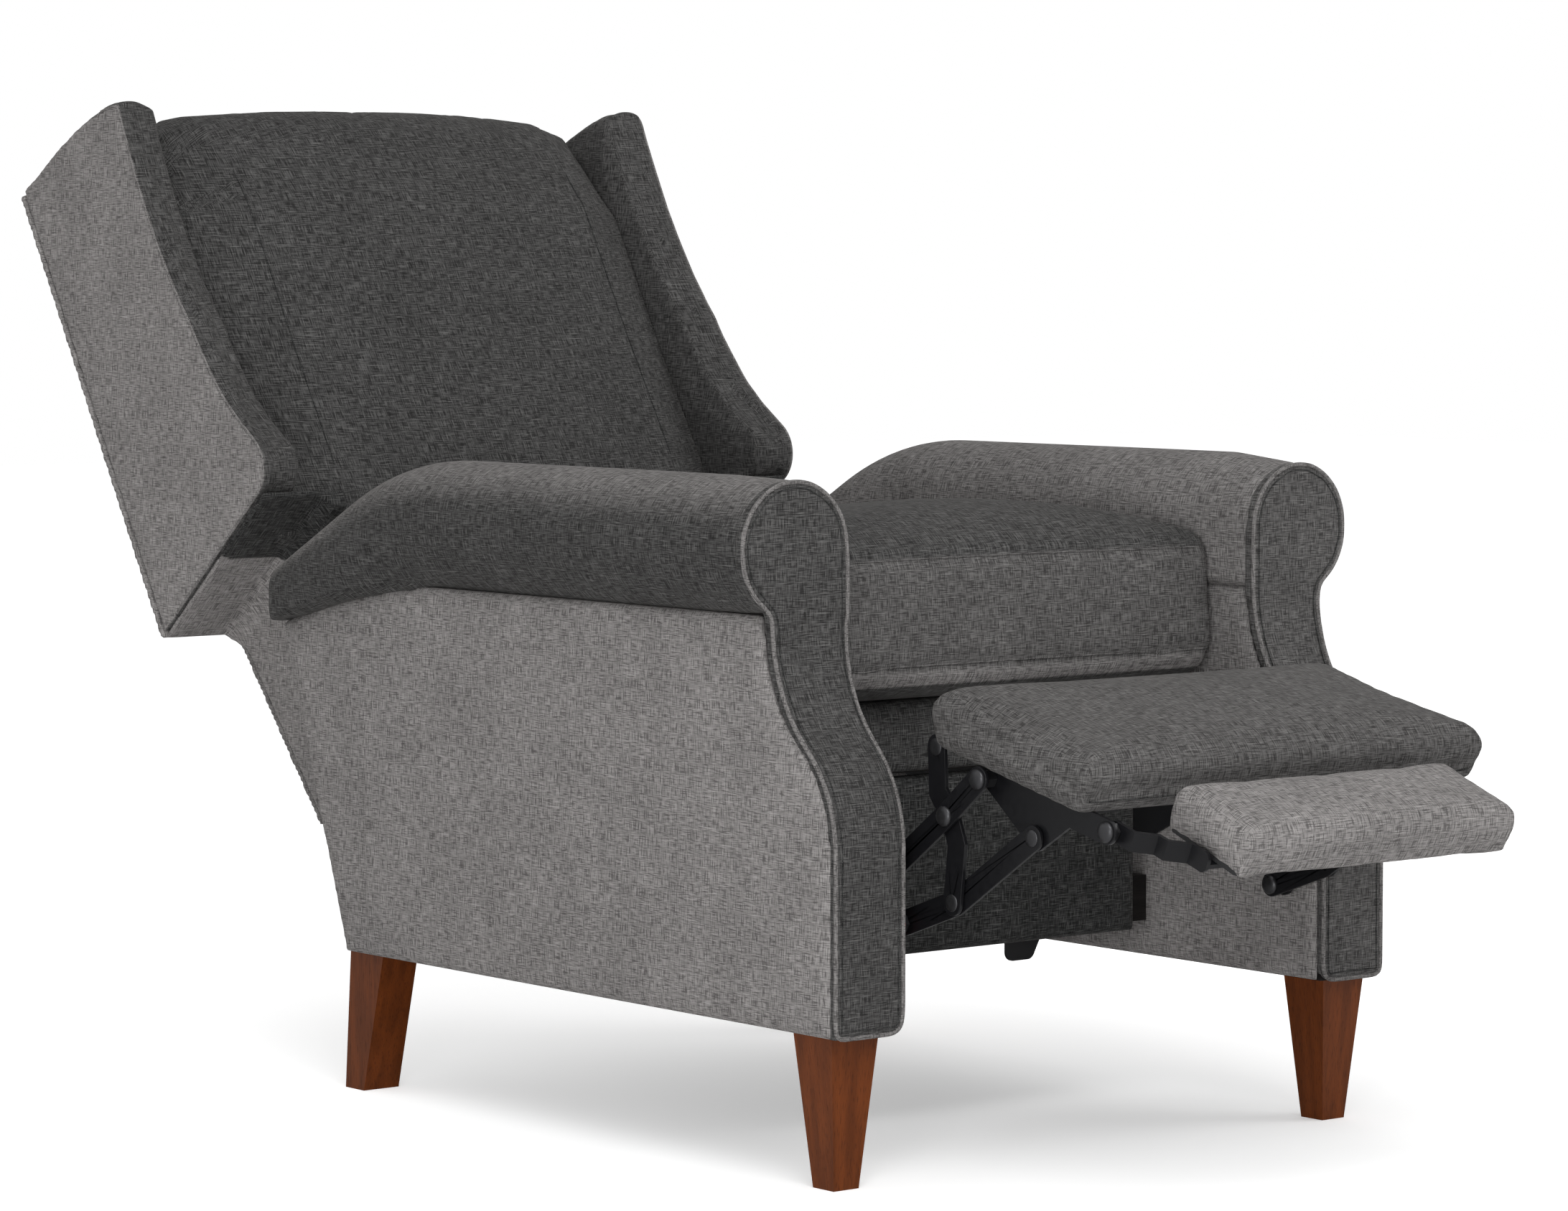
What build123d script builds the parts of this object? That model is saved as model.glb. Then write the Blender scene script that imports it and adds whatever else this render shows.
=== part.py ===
# High leg recliner, modelled open and fully reclined, in millimetres.
# The chair faces -Y. The origin is on the floor, in the middle of the open chair.
# Right and left are the sitter's, so the right side is at -X.
from math import asin, cos, degrees, radians, sin
import os

from build123d import *

os.makedirs("parts", exist_ok=True)

# Legs
front_y = -505.5
leg_height = 140.0
front_leg_inset = 35.5
front_leg_top = 54.0
front_leg_foot = 29.0
rear_leg_inset = 33.0
rear_leg_width = 42.0
rear_leg_top_depth = 57.0
rear_leg_foot_depth = 32.0
rear_leg_setback = 19.0
rear_leg_rake = 23.0
leg_bolt_radius = 4.0
leg_bolt_reach = 34.0

# Arms, from the middle of the seat outwards and from the hem upwards
arm_width = 84.0
panel_thickness = 8.0
front_pad = 14.0
arm_front_ahead = 24.0
scroll_front_behind = 72.0
sweep_low_z = 305.0
sweep_high_z = 505.0
sweep_share = 0.45
seam_z = 512.0
roll_bend_behind = 570.0
arm_rear_behind = 862.0
arm_rear_z = 463.0
arm_foot_behind = 751.0
front_corner = 15.0
roll_top_z = 631.0
roll_overhang = 4.0
roll_width = 122.5
roll_shoulder_behind = 735.0
roll_shoulder_z = 592.0
roll_tip_behind = 872.0
roll_tip_inner_draw = 10.0
roll_tip_outer_draw = 14.5
roll_tip_round = 26.0
frame_edge = 60.0
frame_web = 45.0
frame_windows = 4

# Cross rails of the base
rail_thickness = 22.0
front_cross_behind = 225.0
front_cross_z = 176.0
front_cross_height = 45.0
rear_cross_setback = 61.0
rear_cross_z = 150.0
rear_cross_height = 70.0
rail_bracket_x = 95.0
rail_bracket_width = 47.0
rail_bracket_drop = 26.0
rail_bracket_round = 9.0
rail_bracket_taper = 14.0
rail_bracket_gauge = 3.0

# Seat, in a frame that leans back with it
seat_tilt = 5.0
seat_behind = 223.0
seat_z = 417.0
cushion_half_width = 250.0
seat_clearance = 6.0
cushion_front = -102.0
cushion_rear = 557.0
cushion_lip = 33.0
cushion_seam = 126.0
cushion_crown = 56.0
cushion_end_crown = 14.0
cushion_crest = 120.0
cushion_draw_in = 5.0
seat_rail_inset = 33.0
seat_rail_height = 70.0
seat_rail_front = -35.0
seat_rail_rear = 590.0
seat_pivot_behind = 640.0
seat_pivot_z = 345.0
seat_bolt_radius = 6.0
band_thickness = 9.0
front_panel_z = 172.0
front_panel_inset = 17.0
webbing_width = 50.0
webbing_thickness = 3.0
seat_webbing_count = 5

# Back, in a frame that leans with it: s runs forwards from the outer back, t runs up
back_lean = 31.0
back_behind = 1080.0
back_z = 438.0
outer_back_thickness = 8.0
wing_thickness = 50.0
wing_gap = 5.0
wing_height = 540.0
wing_shoulder_drop = 35.0
wing_top_depth = 205.0
wing_waist_depth = 194.0
wing_waist_t = 395.0
wing_flare_depth = 207.0
wing_flare_t = 240.0
wing_flare_slope = 0.16
wing_nose_depth = 256.0
wing_nose_t = 90.0
wing_nose_round = 52.0
wing_board_thickness = 15.0
wing_skin = 8.0
wing_edge_pad = 12.0
back_rail_depth = 50.0
back_rail_height = 55.0
back_top_rail_drop = 100.0
back_middle_rail_t = 10.0
back_post_depth = 50.0
back_post_width = 24.0
lower_back_clearance = 2.0
lower_back_drop = 245.0
lower_back_step = 36.0
lower_back_gap = 6.0
panel_gap = 2.0
side_skin = 4.0
back_bottom_rail_height = 40.0
back_pivot_s = 150.0
back_pivot_t = -210.0
back_pad_half_width = 290.0
back_pad_waist_gap = 4.0
back_pad_tail_draw = 32.0
back_pad_foot_t = -190.0
back_pad_waist_t = 20.0
back_pad_top_drop = 32.0
back_pad_arch = 22.0
back_pad_edge = 190.0
back_pad_crown = 34.0
back_webbing_count = 4

# Footrest linkage: the pivots in the side view, behind the front of the legs and above the floor
plate = 4.0
crank_pivot_behind = 104.18
crank_pivot_z = 342.40
crank_upper_behind = 26.0
crank_upper_z = 282.0
crank_lower_behind = 21.0
crank_lower_z = 232.5
upper_front_behind = -91.5
upper_front_z = 371.8
lower_front_behind = -151.0
lower_front_z = 324.0
cross_on_upper_behind = -47.0
cross_on_upper_z = 335.5
cross_on_lower_behind = -51.0
cross_on_lower_z = 258.0
cross_top_behind = -29.0
cross_top_z = 395.5
cross_upper_bend = 40.0
cross_upper_lean = 2.0
cross_lower_bend = 52.0
cross_lower_lean = 6.0
crank_gap = 5.0
link_gap = 1.5
flap_gap = 6.0
link_width = 23.0
pin_radius = 5.0
pin_shoulder = 3.5
pin_head_height = 2.6
bracket_lug = 16.0
running_clearance = 0.05
side_clearance = 0.3

# Footrest pad and flap, in frames that lean with them: u and p run forwards
pad_tilt = 13.5
pad_ahead = 34.0
pad_z = 440.0
pad_overhang = 32.0
pad_length = 212.0
pad_thickness = 30.0
pad_crown = 13.0
board_thickness = 12.0
bracket_overhang = 10.0
footrest_board_rear = 12.0
footrest_board_front = 200.0
flange_rear = 86.0
flange_front = 195.0
flange_width = 40.0
flap_tilt = 22.0
flap_hinge_u = 225.0
flap_hinge_w = -52.0
flap_half_width = 168.0
flap_rear = 9.0
flap_front = 107.0
flap_board_low = 4.0
flap_board_thickness = 10.0
flap_pad_thickness = 24.0
flap_crown = 4.0
flap_arm_length = 78.0
flap_arm_first = 32.0
flap_arm_second = 54.0
flap_arm_jog = 10.0
flap_arm_gap = 4.0
flap_arm_drop = 5.0
flap_lug = 9.0
flap_arm_round = 6.0

# Places along the chair, from the front of the legs
arm_front_y = front_y - arm_front_ahead
scroll_front_y = front_y + scroll_front_behind
roll_bend_y = front_y + roll_bend_behind
roll_shoulder_y = front_y + roll_shoulder_behind
roll_tip_y = front_y + roll_tip_behind
arm_foot_y = front_y + arm_foot_behind
rear_leg_top_y = arm_foot_y - rear_leg_setback
rear_leg_foot_y = rear_leg_top_y + rear_leg_rake
arm_rear_y = front_y + arm_rear_behind
front_cross_y = front_y + front_cross_behind
rear_cross_y = arm_foot_y - rear_cross_setback
seat_y = front_y + seat_behind
seat_pivot_y = front_y + seat_pivot_behind
back_y = front_y + back_behind
pad_y = front_y - pad_ahead

# Places across the chair, from the seat cushion out to the arms and in to the footrest and back
arm_inner_x = cushion_half_width + seat_clearance
arm_outer_x = arm_inner_x + arm_width
roll_inner_x = arm_inner_x - roll_overhang
roll_outer_x = roll_inner_x + roll_width
roll_tip_inner_x = roll_inner_x + roll_tip_inner_draw
roll_tip_outer_x = roll_outer_x - roll_tip_outer_draw
front_leg_x = arm_outer_x - front_leg_inset
rear_leg_x = arm_outer_x - rear_leg_inset
seat_rail_outer_x = cushion_half_width - seat_rail_inset
front_panel_half_width = seat_rail_outer_x - front_panel_inset
crank_x = arm_inner_x - plate - crank_gap
upper_link_x = crank_x - plate - link_gap
cross_link_x = upper_link_x - plate - link_gap
lower_link_x = cross_link_x - plate - link_gap
footrest_bracket_x = lower_link_x - plate - link_gap
flap_bracket_x = footrest_bracket_x - plate - flap_gap
footrest_board_half_width = footrest_bracket_x - bracket_overhang
pad_half_width = footrest_board_half_width + pad_overhang
lower_back_x = arm_inner_x - lower_back_clearance
back_pad_waist = lower_back_x - side_skin - back_pad_waist_gap
back_pad_tail = back_pad_waist - back_pad_tail_draw
wing_inner_x = back_pad_half_width + wing_gap
wing_outer_x = wing_inner_x + wing_thickness

# Heights along the back, down from the top of the wings
back_top_rail_t = wing_height - back_top_rail_drop
back_post_top = back_top_rail_t + back_rail_height
back_pad_top_t = wing_height - back_pad_top_drop


def save(part, name):
    part.label = name
    export_step(part, f"parts/{name}.step")


def save_pair(part, name):
    # The right piece as modelled, and its mirror image on the left
    save(part, f"{name}_right")
    with BuildPart() as other:
        mirror(part, about=Plane.YZ)
    save(other.part, f"{name}_left")


def save_both_sides(part, name):
    # One node that holds the right piece and its mirror image
    with BuildPart() as both:
        add(part)
        mirror(part, about=Plane.YZ)
    save(both.part, name)


# Front leg: square, tapered alike on all four sides, with a blind hole for its hanger bolt
front_leg_y = front_y + front_leg_top / 2


def leg_taper(middle):
    # Outline of the tapered leg in a view from one side
    with BuildSketch() as outline:
        with BuildLine():
            Polyline(
                (middle - front_leg_top / 2, leg_height),
                (middle - front_leg_foot / 2, 0),
                (middle + front_leg_foot / 2, 0),
                (middle + front_leg_top / 2, leg_height),
                close=True,
            )
        make_face()
    return outline.sketch


with BuildPart() as leg_front:
    with BuildSketch(Plane.YZ.offset(-front_leg_x - front_leg_top / 2)):
        add(leg_taper(front_leg_y))
    extrude(amount=front_leg_top)
    with BuildSketch(Plane.XZ.offset(-front_y)):
        add(leg_taper(-front_leg_x))
    extrude(amount=-front_leg_top, mode=Mode.INTERSECT)
    with Locations((-front_leg_x, front_leg_y, leg_height - leg_bolt_reach / 2)):
        Cylinder(leg_bolt_radius, leg_bolt_reach, mode=Mode.SUBTRACT)
save_pair(leg_front.part, "leg_front")

# Rear leg: raked backwards and tapered in the side view
with BuildPart() as leg_rear:
    with BuildSketch(Plane.YZ.offset(-rear_leg_x - rear_leg_width / 2)):
        with BuildLine():
            Polyline(
                (rear_leg_top_y - rear_leg_top_depth / 2, leg_height),
                (rear_leg_foot_y - rear_leg_foot_depth / 2, 0),
                (rear_leg_foot_y + rear_leg_foot_depth / 2, 0),
                (rear_leg_top_y + rear_leg_top_depth / 2, leg_height),
                close=True,
            )
        make_face()
    extrude(amount=rear_leg_width)
    with Locations((-rear_leg_x, rear_leg_top_y, leg_height - leg_bolt_reach / 2)):
        Cylinder(leg_bolt_radius, leg_bolt_reach, mode=Mode.SUBTRACT)
save_pair(leg_rear.part, "leg_rear")
leg_tops = [(-front_leg_x, front_leg_y, leg_height), (-rear_leg_x, rear_leg_top_y, leg_height)]

# Hanger bolts, half in the leg and half in the arm frame
with BuildPart() as leg_bolts:
    with Locations(*leg_tops):
        Cylinder(leg_bolt_radius - running_clearance, 2 * (leg_bolt_reach - side_clearance))
save_both_sides(leg_bolts.part, "leg_bolts")


def arm_outline(front_shift):
    # Side view of an arm below its roll: upright front, swept S, seam, raked rear edge
    low = arm_front_y + front_shift
    high = scroll_front_y + front_shift
    bend = (
        low + sweep_share * (high - low),
        sweep_low_z + sweep_share * (sweep_high_z - sweep_low_z),
    )
    with BuildSketch() as outline:
        with BuildLine():
            riser = Line((low, leg_height), (low, sweep_low_z))
            lower_sweep = TangentArc(riser @ 1, bend, tangent=riser % 1)
            upper_sweep = TangentArc(lower_sweep @ 1, (high, sweep_high_z), tangent=lower_sweep % 1)
            Line(upper_sweep @ 1, (high, seam_z))
            seam = Line((high, seam_z), (roll_bend_y, seam_z))
            fall = TangentArc(seam @ 1, (arm_rear_y, arm_rear_z), tangent=seam % 1)
            Polyline(fall @ 1, (arm_foot_y, leg_height), riser @ 0)
        make_face()
    return outline.sketch


def arm_panel(outer_x, thickness):
    with BuildPart() as panel:
        with BuildSketch(Plane.YZ.offset(-outer_x)):
            add(arm_outline(front_pad))
        extrude(amount=thickness)
    return panel.part


save_pair(arm_panel(arm_outer_x, panel_thickness), "arm_side_panel")
save_pair(arm_panel(arm_inner_x + panel_thickness, panel_thickness), "arm_inner_panel")

# Plywood arm frame between the panels, with lightening windows in a row
frame_outer_x = arm_outer_x - panel_thickness
frame_inner_x = arm_inner_x + panel_thickness
window_front = arm_front_y + front_pad + frame_edge
window_rear = arm_foot_y - frame_edge
window_pitch = (window_rear - window_front + frame_web) / frame_windows
with BuildPart() as arm_frame:
    add(arm_panel(frame_outer_x, frame_outer_x - frame_inner_x))
    with BuildSketch(Plane.YZ.offset(-frame_outer_x)):
        for index in range(frame_windows):
            middle = window_front + (window_pitch - frame_web) / 2 + index * window_pitch
            with Locations((middle, leg_height + frame_edge + (sweep_low_z - leg_height) / 2)):
                Rectangle(window_pitch - frame_web, sweep_low_z - leg_height)
    extrude(amount=frame_outer_x - frame_inner_x, mode=Mode.SUBTRACT)
    with Locations(*leg_tops):
        Cylinder(leg_bolt_radius, 2 * leg_bolt_reach, mode=Mode.SUBTRACT)
save_pair(arm_frame.part, "arm_frame")

# Padded front of an arm: an S-swept band cut to the scroll's front outline
roll_round = (roll_outer_x - roll_inner_x) / 2
roll_middle_x = (roll_inner_x + roll_outer_x) / 2
roll_middle_z = (seam_z + roll_top_z) / 2
with BuildPart() as arm_front:
    with BuildSketch(Plane.YZ.offset(-roll_outer_x)):
        with BuildLine():
            face = Line((arm_front_y, leg_height), (arm_front_y, sweep_low_z))
            face_bend = (
                arm_front_y + sweep_share * (scroll_front_y - arm_front_y),
                sweep_low_z + sweep_share * (sweep_high_z - sweep_low_z),
            )
            face_low = TangentArc(face @ 1, face_bend, tangent=face % 1)
            face_high = TangentArc(
                face_low @ 1, (scroll_front_y, sweep_high_z), tangent=face_low % 1
            )
            Polyline(
                face_high @ 1,
                (scroll_front_y, roll_top_z),
                (scroll_front_y + front_pad, roll_top_z),
                (scroll_front_y + front_pad, sweep_high_z),
            )
            back = Line(
                (arm_front_y + front_pad, leg_height), (arm_front_y + front_pad, sweep_low_z)
            )
            back_low = TangentArc(
                back @ 1, (face_bend[0] + front_pad, face_bend[1]), tangent=back % 1
            )
            TangentArc(
                back_low @ 1, (scroll_front_y + front_pad, sweep_high_z), tangent=back_low % 1
            )
            Line(face @ 0, back @ 0)
        make_face()
    extrude(amount=roll_outer_x - roll_inner_x)
    with BuildSketch(Plane.XZ):
        with BuildLine():
            Polyline(
                (-roll_inner_x, roll_middle_z),
                (-roll_inner_x, sweep_high_z),
                (-arm_inner_x, sweep_low_z),
                (-arm_inner_x, leg_height + front_corner),
            )
            RadiusArc(
                (-arm_inner_x, leg_height + front_corner),
                (-arm_inner_x - front_corner, leg_height),
                front_corner,
            )
            Polyline(
                (-arm_inner_x - front_corner, leg_height),
                (-arm_outer_x, leg_height),
                (-arm_outer_x, seam_z),
            )
            RadiusArc((-arm_outer_x, seam_z), (-roll_outer_x, roll_middle_z), roll_round)
            RadiusArc((-roll_outer_x, roll_middle_z), (-roll_middle_x, roll_top_z), roll_round)
            RadiusArc((-roll_middle_x, roll_top_z), (-roll_inner_x, roll_middle_z), roll_round)
        make_face()
    extrude(amount=-2 * front_y, both=True, mode=Mode.INTERSECT)
save_pair(arm_front.part, "arm_front")


# Arm roll: straight from the scroll to the bend, turned down over a large radius to the shoulder,
# then straight on to a tip that narrows, and trimmed to the seam of the panels below it
roll_reach = roll_shoulder_y - roll_bend_y
roll_drop = roll_top_z - roll_shoulder_z
fall_radius = (roll_reach ** 2 + roll_drop ** 2) / (2 * roll_drop)
fall_angle = degrees(asin(roll_reach / fall_radius))


def roll_section():
    # Cross-section of the roll at the bend: flat inside and underneath, round over the top
    with BuildSketch(Plane.XZ.offset(-roll_bend_y)) as section:
        with BuildLine():
            Polyline(
                (-roll_inner_x, roll_middle_z),
                (-roll_inner_x, sweep_low_z),
                (-arm_outer_x, sweep_low_z),
                (-arm_outer_x, seam_z),
            )
            RadiusArc((-arm_outer_x, seam_z), (-roll_outer_x, roll_middle_z), roll_round)
            RadiusArc((-roll_outer_x, roll_middle_z), (-roll_middle_x, roll_top_z), roll_round)
            RadiusArc((-roll_middle_x, roll_top_z), (-roll_inner_x, roll_middle_z), roll_round)
        make_face()
    return section.sketch


def roll_plan():
    # The roll seen from above: parallel as far as the shoulder, then drawn in to a rounded tip
    front = scroll_front_y + front_pad
    with BuildSketch() as plan:
        with BuildLine():
            Polyline(
                (-roll_inner_x, roll_shoulder_y), (-roll_inner_x, front),
                (-roll_outer_x, front), (-roll_outer_x, roll_shoulder_y),
                (-roll_tip_outer_x, roll_tip_y), (-roll_tip_inner_x, roll_tip_y),
                close=True,
            )
        make_face()
        fillet(plan.vertices().group_by(Axis.Y)[-1], roll_tip_round)
    return plan.sketch


with BuildPart() as arm_roll:
    add(roll_section())
    extrude(amount=roll_bend_y - scroll_front_y - front_pad, dir=(0, -1, 0))
    add(roll_section())
    revolve(
        axis=Axis((0, roll_bend_y, roll_top_z - fall_radius), (-1, 0, 0)),
        revolution_arc=fall_angle,
    )
    extrude(arm_roll.faces().sort_by(Axis.Y)[-1], amount=2 * (roll_tip_y - roll_shoulder_y))
    with BuildSketch():
        add(roll_plan())
    extrude(amount=roll_top_z, mode=Mode.INTERSECT)
    with BuildSketch(Plane.YZ.offset(-roll_outer_x)):
        add(arm_outline(front_pad))
    extrude(amount=roll_outer_x - roll_inner_x, mode=Mode.SUBTRACT)
    split(bisect_by=Plane.XY.offset(arm_rear_z), keep=Keep.TOP)
save_pair(arm_roll.part, "arm_roll")


def box_between(low, high):
    # A plain rail from its lowest to its highest corner
    with BuildPart() as block:
        with Locations(low):
            Box(*[b - a for a, b in zip(low, high)], align=(Align.MIN, Align.MIN, Align.MIN))
    return block.part


# Rails between the arms
save(
    box_between(
        (-arm_inner_x, front_cross_y, front_cross_z),
        (arm_inner_x, front_cross_y + rail_thickness, front_cross_z + front_cross_height),
    ),
    "front_cross_rail",
)
save(
    box_between(
        (-arm_inner_x, rear_cross_y, rear_cross_z),
        (arm_inner_x, rear_cross_y + rail_thickness, rear_cross_z + rear_cross_height),
    ),
    "rear_cross_rail",
)

# Folded sheet bracket under the front cross rail: a flange on the rail and a drop with a taper
bracket_left_x = rail_bracket_x - rail_bracket_width / 2
bracket_right_x = rail_bracket_x + rail_bracket_width / 2
bracket_bottom_z = front_cross_z - rail_bracket_drop
with BuildPart() as rail_bracket:
    add(
        box_between(
            (bracket_left_x, front_cross_y, front_cross_z - rail_bracket_gauge),
            (bracket_right_x, front_cross_y + rail_thickness, front_cross_z),
        )
    )
    with BuildSketch(Plane.XZ.offset(-front_cross_y)) as drop:
        with BuildLine():
            Polyline(
                (bracket_left_x, front_cross_z),
                (bracket_left_x, bracket_bottom_z),
                (bracket_right_x - rail_bracket_taper, bracket_bottom_z),
                (bracket_right_x, front_cross_z),
                close=True,
            )
        make_face()
        fillet(drop.vertices().group_by(Axis.Y)[0], rail_bracket_round)
    extrude(amount=-rail_bracket_gauge)
save(rail_bracket.part, "rail_bracket")


def pin(point, radius, outer_x, inner_x, spacers):
    # A round pin on the right side, with hexagonal spacers and nuts given as outer and inner x
    with BuildPart() as turned:
        with BuildSketch(Plane.YZ.offset(-outer_x)):
            with Locations(point):
                Circle(radius)
        extrude(amount=outer_x - inner_x)
        for spacer_outer_x, spacer_inner_x in spacers:
            with BuildSketch(Plane.YZ.offset(-spacer_outer_x)):
                with Locations(point):
                    RegularPolygon(radius + pin_shoulder, 6)
            extrude(amount=spacer_outer_x - spacer_inner_x)
    return turned.part


def hull_plate(outer_x, rounds, holes):
    # A flat steel plate on the right side: the hull of some rounds, with holes
    with BuildPart() as sheet:
        with BuildSketch(Plane.YZ.offset(-outer_x)):
            for point, radius in rounds:
                with Locations(point):
                    Circle(radius)
            make_hull()
            for point, radius in holes:
                with Locations(point):
                    Circle(radius, mode=Mode.SUBTRACT)
        extrude(amount=plate)
    return sheet.part


def flat_link(outer_x, path, holes):
    # A flat link on the right side: a strip along a path, with round ends and pin holes
    with BuildPart() as strip:
        with BuildSketch(Plane.YZ.offset(-outer_x)):
            with BuildLine():
                Polyline(*path)
            trace(line_width=link_width)
            with Locations(*path):
                Circle(link_width / 2)
            with Locations(*holes):
                Circle(pin_radius + running_clearance, mode=Mode.SUBTRACT)
        extrude(amount=plate)
    return strip.part


# Pivots of the linkage in the side view, from the crank forwards
crank_pivot = (front_y + crank_pivot_behind, crank_pivot_z)
crank_upper = (front_y + crank_upper_behind, crank_upper_z)
crank_lower = (front_y + crank_lower_behind, crank_lower_z)
upper_link_front = (front_y + upper_front_behind, upper_front_z)
lower_link_front = (front_y + lower_front_behind, lower_front_z)
cross_on_upper = (front_y + cross_on_upper_behind, cross_on_upper_z)
cross_on_lower = (front_y + cross_on_lower_behind, cross_on_lower_z)
cross_top = (front_y + cross_top_behind, cross_top_z)

# Steel plates on the inner panels, which carry the cranks and the seat
seat_pivot = (seat_pivot_y, seat_pivot_z)
plate_corner = ((seat_pivot_y + crank_pivot[0]) / 2, front_cross_z + 2 * front_cross_height / 3)
save_pair(
    hull_plate(
        arm_inner_x,
        [(crank_pivot, link_width), (seat_pivot, link_width), (plate_corner, link_width)],
        [
            (crank_pivot, pin_radius + running_clearance),
            (seat_pivot, seat_bolt_radius + running_clearance),
        ],
    ),
    "mechanism_plate",
)

# Shoulder bolts of the cranks and of the seat
plate_face = arm_inner_x - plate
seat_rail_inner_x = seat_rail_outer_x - rail_thickness
crank_inner_x = crank_x - plate
with BuildPart() as pivot_bolts:
    nut_x = crank_inner_x - side_clearance
    add(
        pin(
            crank_pivot, pin_radius, arm_inner_x, nut_x - pin_head_height,
            [(plate_face, crank_x + side_clearance), (nut_x, nut_x - pin_head_height)],
        )
    )
    nut_x = seat_rail_inner_x - side_clearance
    add(
        pin(
            seat_pivot, seat_bolt_radius, arm_inner_x, nut_x - pin_head_height,
            [(plate_face, seat_rail_outer_x + side_clearance), (nut_x, nut_x - pin_head_height)],
        )
    )
save_both_sides(pivot_bolts.part, "pivot_bolts")


def seat_plane(x):
    # Side view of the seat: local x runs rearwards along it, local y stands up from it
    lean = radians(seat_tilt)
    return Plane(origin=(x, seat_y, seat_z), x_dir=(0, cos(lean), -sin(lean)), z_dir=(1, 0, 0))


def seat_point(depth, height):
    # The frame's own (y, z) of a point in the seat's side view
    place = seat_plane(0).from_local_coords((depth, height, 0))
    return (place.Y, place.Z)


def seat_bar(left_x, right_x, front, rear, low, high):
    with BuildPart() as bar:
        with BuildSketch(seat_plane(left_x)):
            with Locations(((front + rear) / 2, (low + high) / 2)):
                Rectangle(rear - front, high - low)
        extrude(amount=right_x - left_x)
    return bar.part


# Wooden seat frame under the webbing
rail_top = -webbing_thickness
rail_bottom = rail_top - seat_rail_height
with BuildPart() as seat_rail:
    add(
        seat_bar(
            -seat_rail_outer_x, -seat_rail_inner_x,
            seat_rail_front, seat_rail_rear, rail_bottom, rail_top,
        )
    )
    with BuildSketch(Plane.YZ.offset(-seat_rail_outer_x)):
        with Locations(seat_pivot):
            Circle(seat_bolt_radius + running_clearance)
    extrude(amount=rail_thickness, mode=Mode.SUBTRACT)
save_pair(seat_rail.part, "seat_rail")
save(
    seat_bar(
        -seat_rail_inner_x, seat_rail_inner_x,
        seat_rail_front, seat_rail_front + rail_thickness, rail_bottom, rail_top,
    ),
    "seat_front_rail",
)
save(
    seat_bar(
        -seat_rail_inner_x, seat_rail_inner_x,
        seat_rail_rear - rail_thickness, seat_rail_rear, rail_bottom, rail_top,
    ),
    "seat_rear_rail",
)

# Webbing straps across the seat rails
strap_pitch = (cushion_rear - webbing_width) / (seat_webbing_count - 1)
with BuildPart() as seat_webbing:
    for index in range(seat_webbing_count):
        strap_front = index * strap_pitch
        add(
            seat_bar(
                -seat_rail_outer_x, seat_rail_outer_x,
                strap_front, strap_front + webbing_width, rail_top, 0,
            )
        )
save(seat_webbing.part, "seat_webbing")


seat_forward = (0, -cos(radians(seat_tilt)), sin(radians(seat_tilt)))
seat_upward = (0, sin(radians(seat_tilt)), cos(radians(seat_tilt)))


def cushion_side():
    # Side view of the seat cushion: boxed front, crowned top, waterfall lip underneath
    crest = (cushion_front + cushion_crest, cushion_seam + cushion_crown)
    with BuildSketch(seat_plane(-cushion_half_width)) as section:
        with BuildLine():
            Line((cushion_front, cushion_lip), (cushion_front, cushion_seam))
            TangentArc(crest, (cushion_front, cushion_seam), tangent=(-1, 0))
            TangentArc(crest, (cushion_rear, cushion_seam), tangent=(1, 0))
            Polyline((cushion_rear, cushion_seam), (cushion_rear, 0), (0, 0))
            ThreePointArc(
                (0, 0), (cushion_front / 2, cushion_lip / 4), (cushion_front, cushion_lip)
            )
        make_face()
    return section.sketch


def cushion_front_view():
    # Front view of the seat cushion: upright sides and a crowned top
    upright = Plane(origin=(0, seat_y, seat_z), x_dir=(1, 0, 0), z_dir=seat_forward)
    side_top = cushion_seam + cushion_end_crown
    with BuildSketch(upright) as section:
        with BuildLine():
            Polyline(
                (-cushion_half_width, side_top), (-cushion_half_width, 0),
                (cushion_half_width, 0), (cushion_half_width, side_top),
            )
            ThreePointArc(
                (cushion_half_width, side_top),
                (0, cushion_seam + cushion_crown),
                (-cushion_half_width, side_top),
            )
        make_face()
    return section.sketch


def cushion_plan():
    # The seat cushion from above: square corners, with the front drawn in between them
    flat = Plane(origin=(0, seat_y, seat_z), x_dir=(1, 0, 0), z_dir=seat_upward)
    with BuildSketch(flat) as section:
        with BuildLine():
            Polyline(
                (-cushion_half_width, cushion_front), (-cushion_half_width, cushion_rear),
                (cushion_half_width, cushion_rear), (cushion_half_width, cushion_front),
            )
            ThreePointArc(
                (cushion_half_width, cushion_front),
                (0, cushion_front + cushion_draw_in),
                (-cushion_half_width, cushion_front),
            )
        make_face()
    return section.sketch


# Seat cushion: its three views, each drawn through and cut by the others
with BuildPart() as seat_cushion:
    add(cushion_side())
    extrude(amount=2 * cushion_half_width, dir=(1, 0, 0))
    add(cushion_front_view())
    extrude(amount=2 * cushion_rear, dir=seat_forward, both=True, mode=Mode.INTERSECT)
    add(cushion_plan())
    extrude(amount=cushion_rear, dir=seat_upward, mode=Mode.INTERSECT)
save(seat_cushion.part, "seat_cushion")

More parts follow.
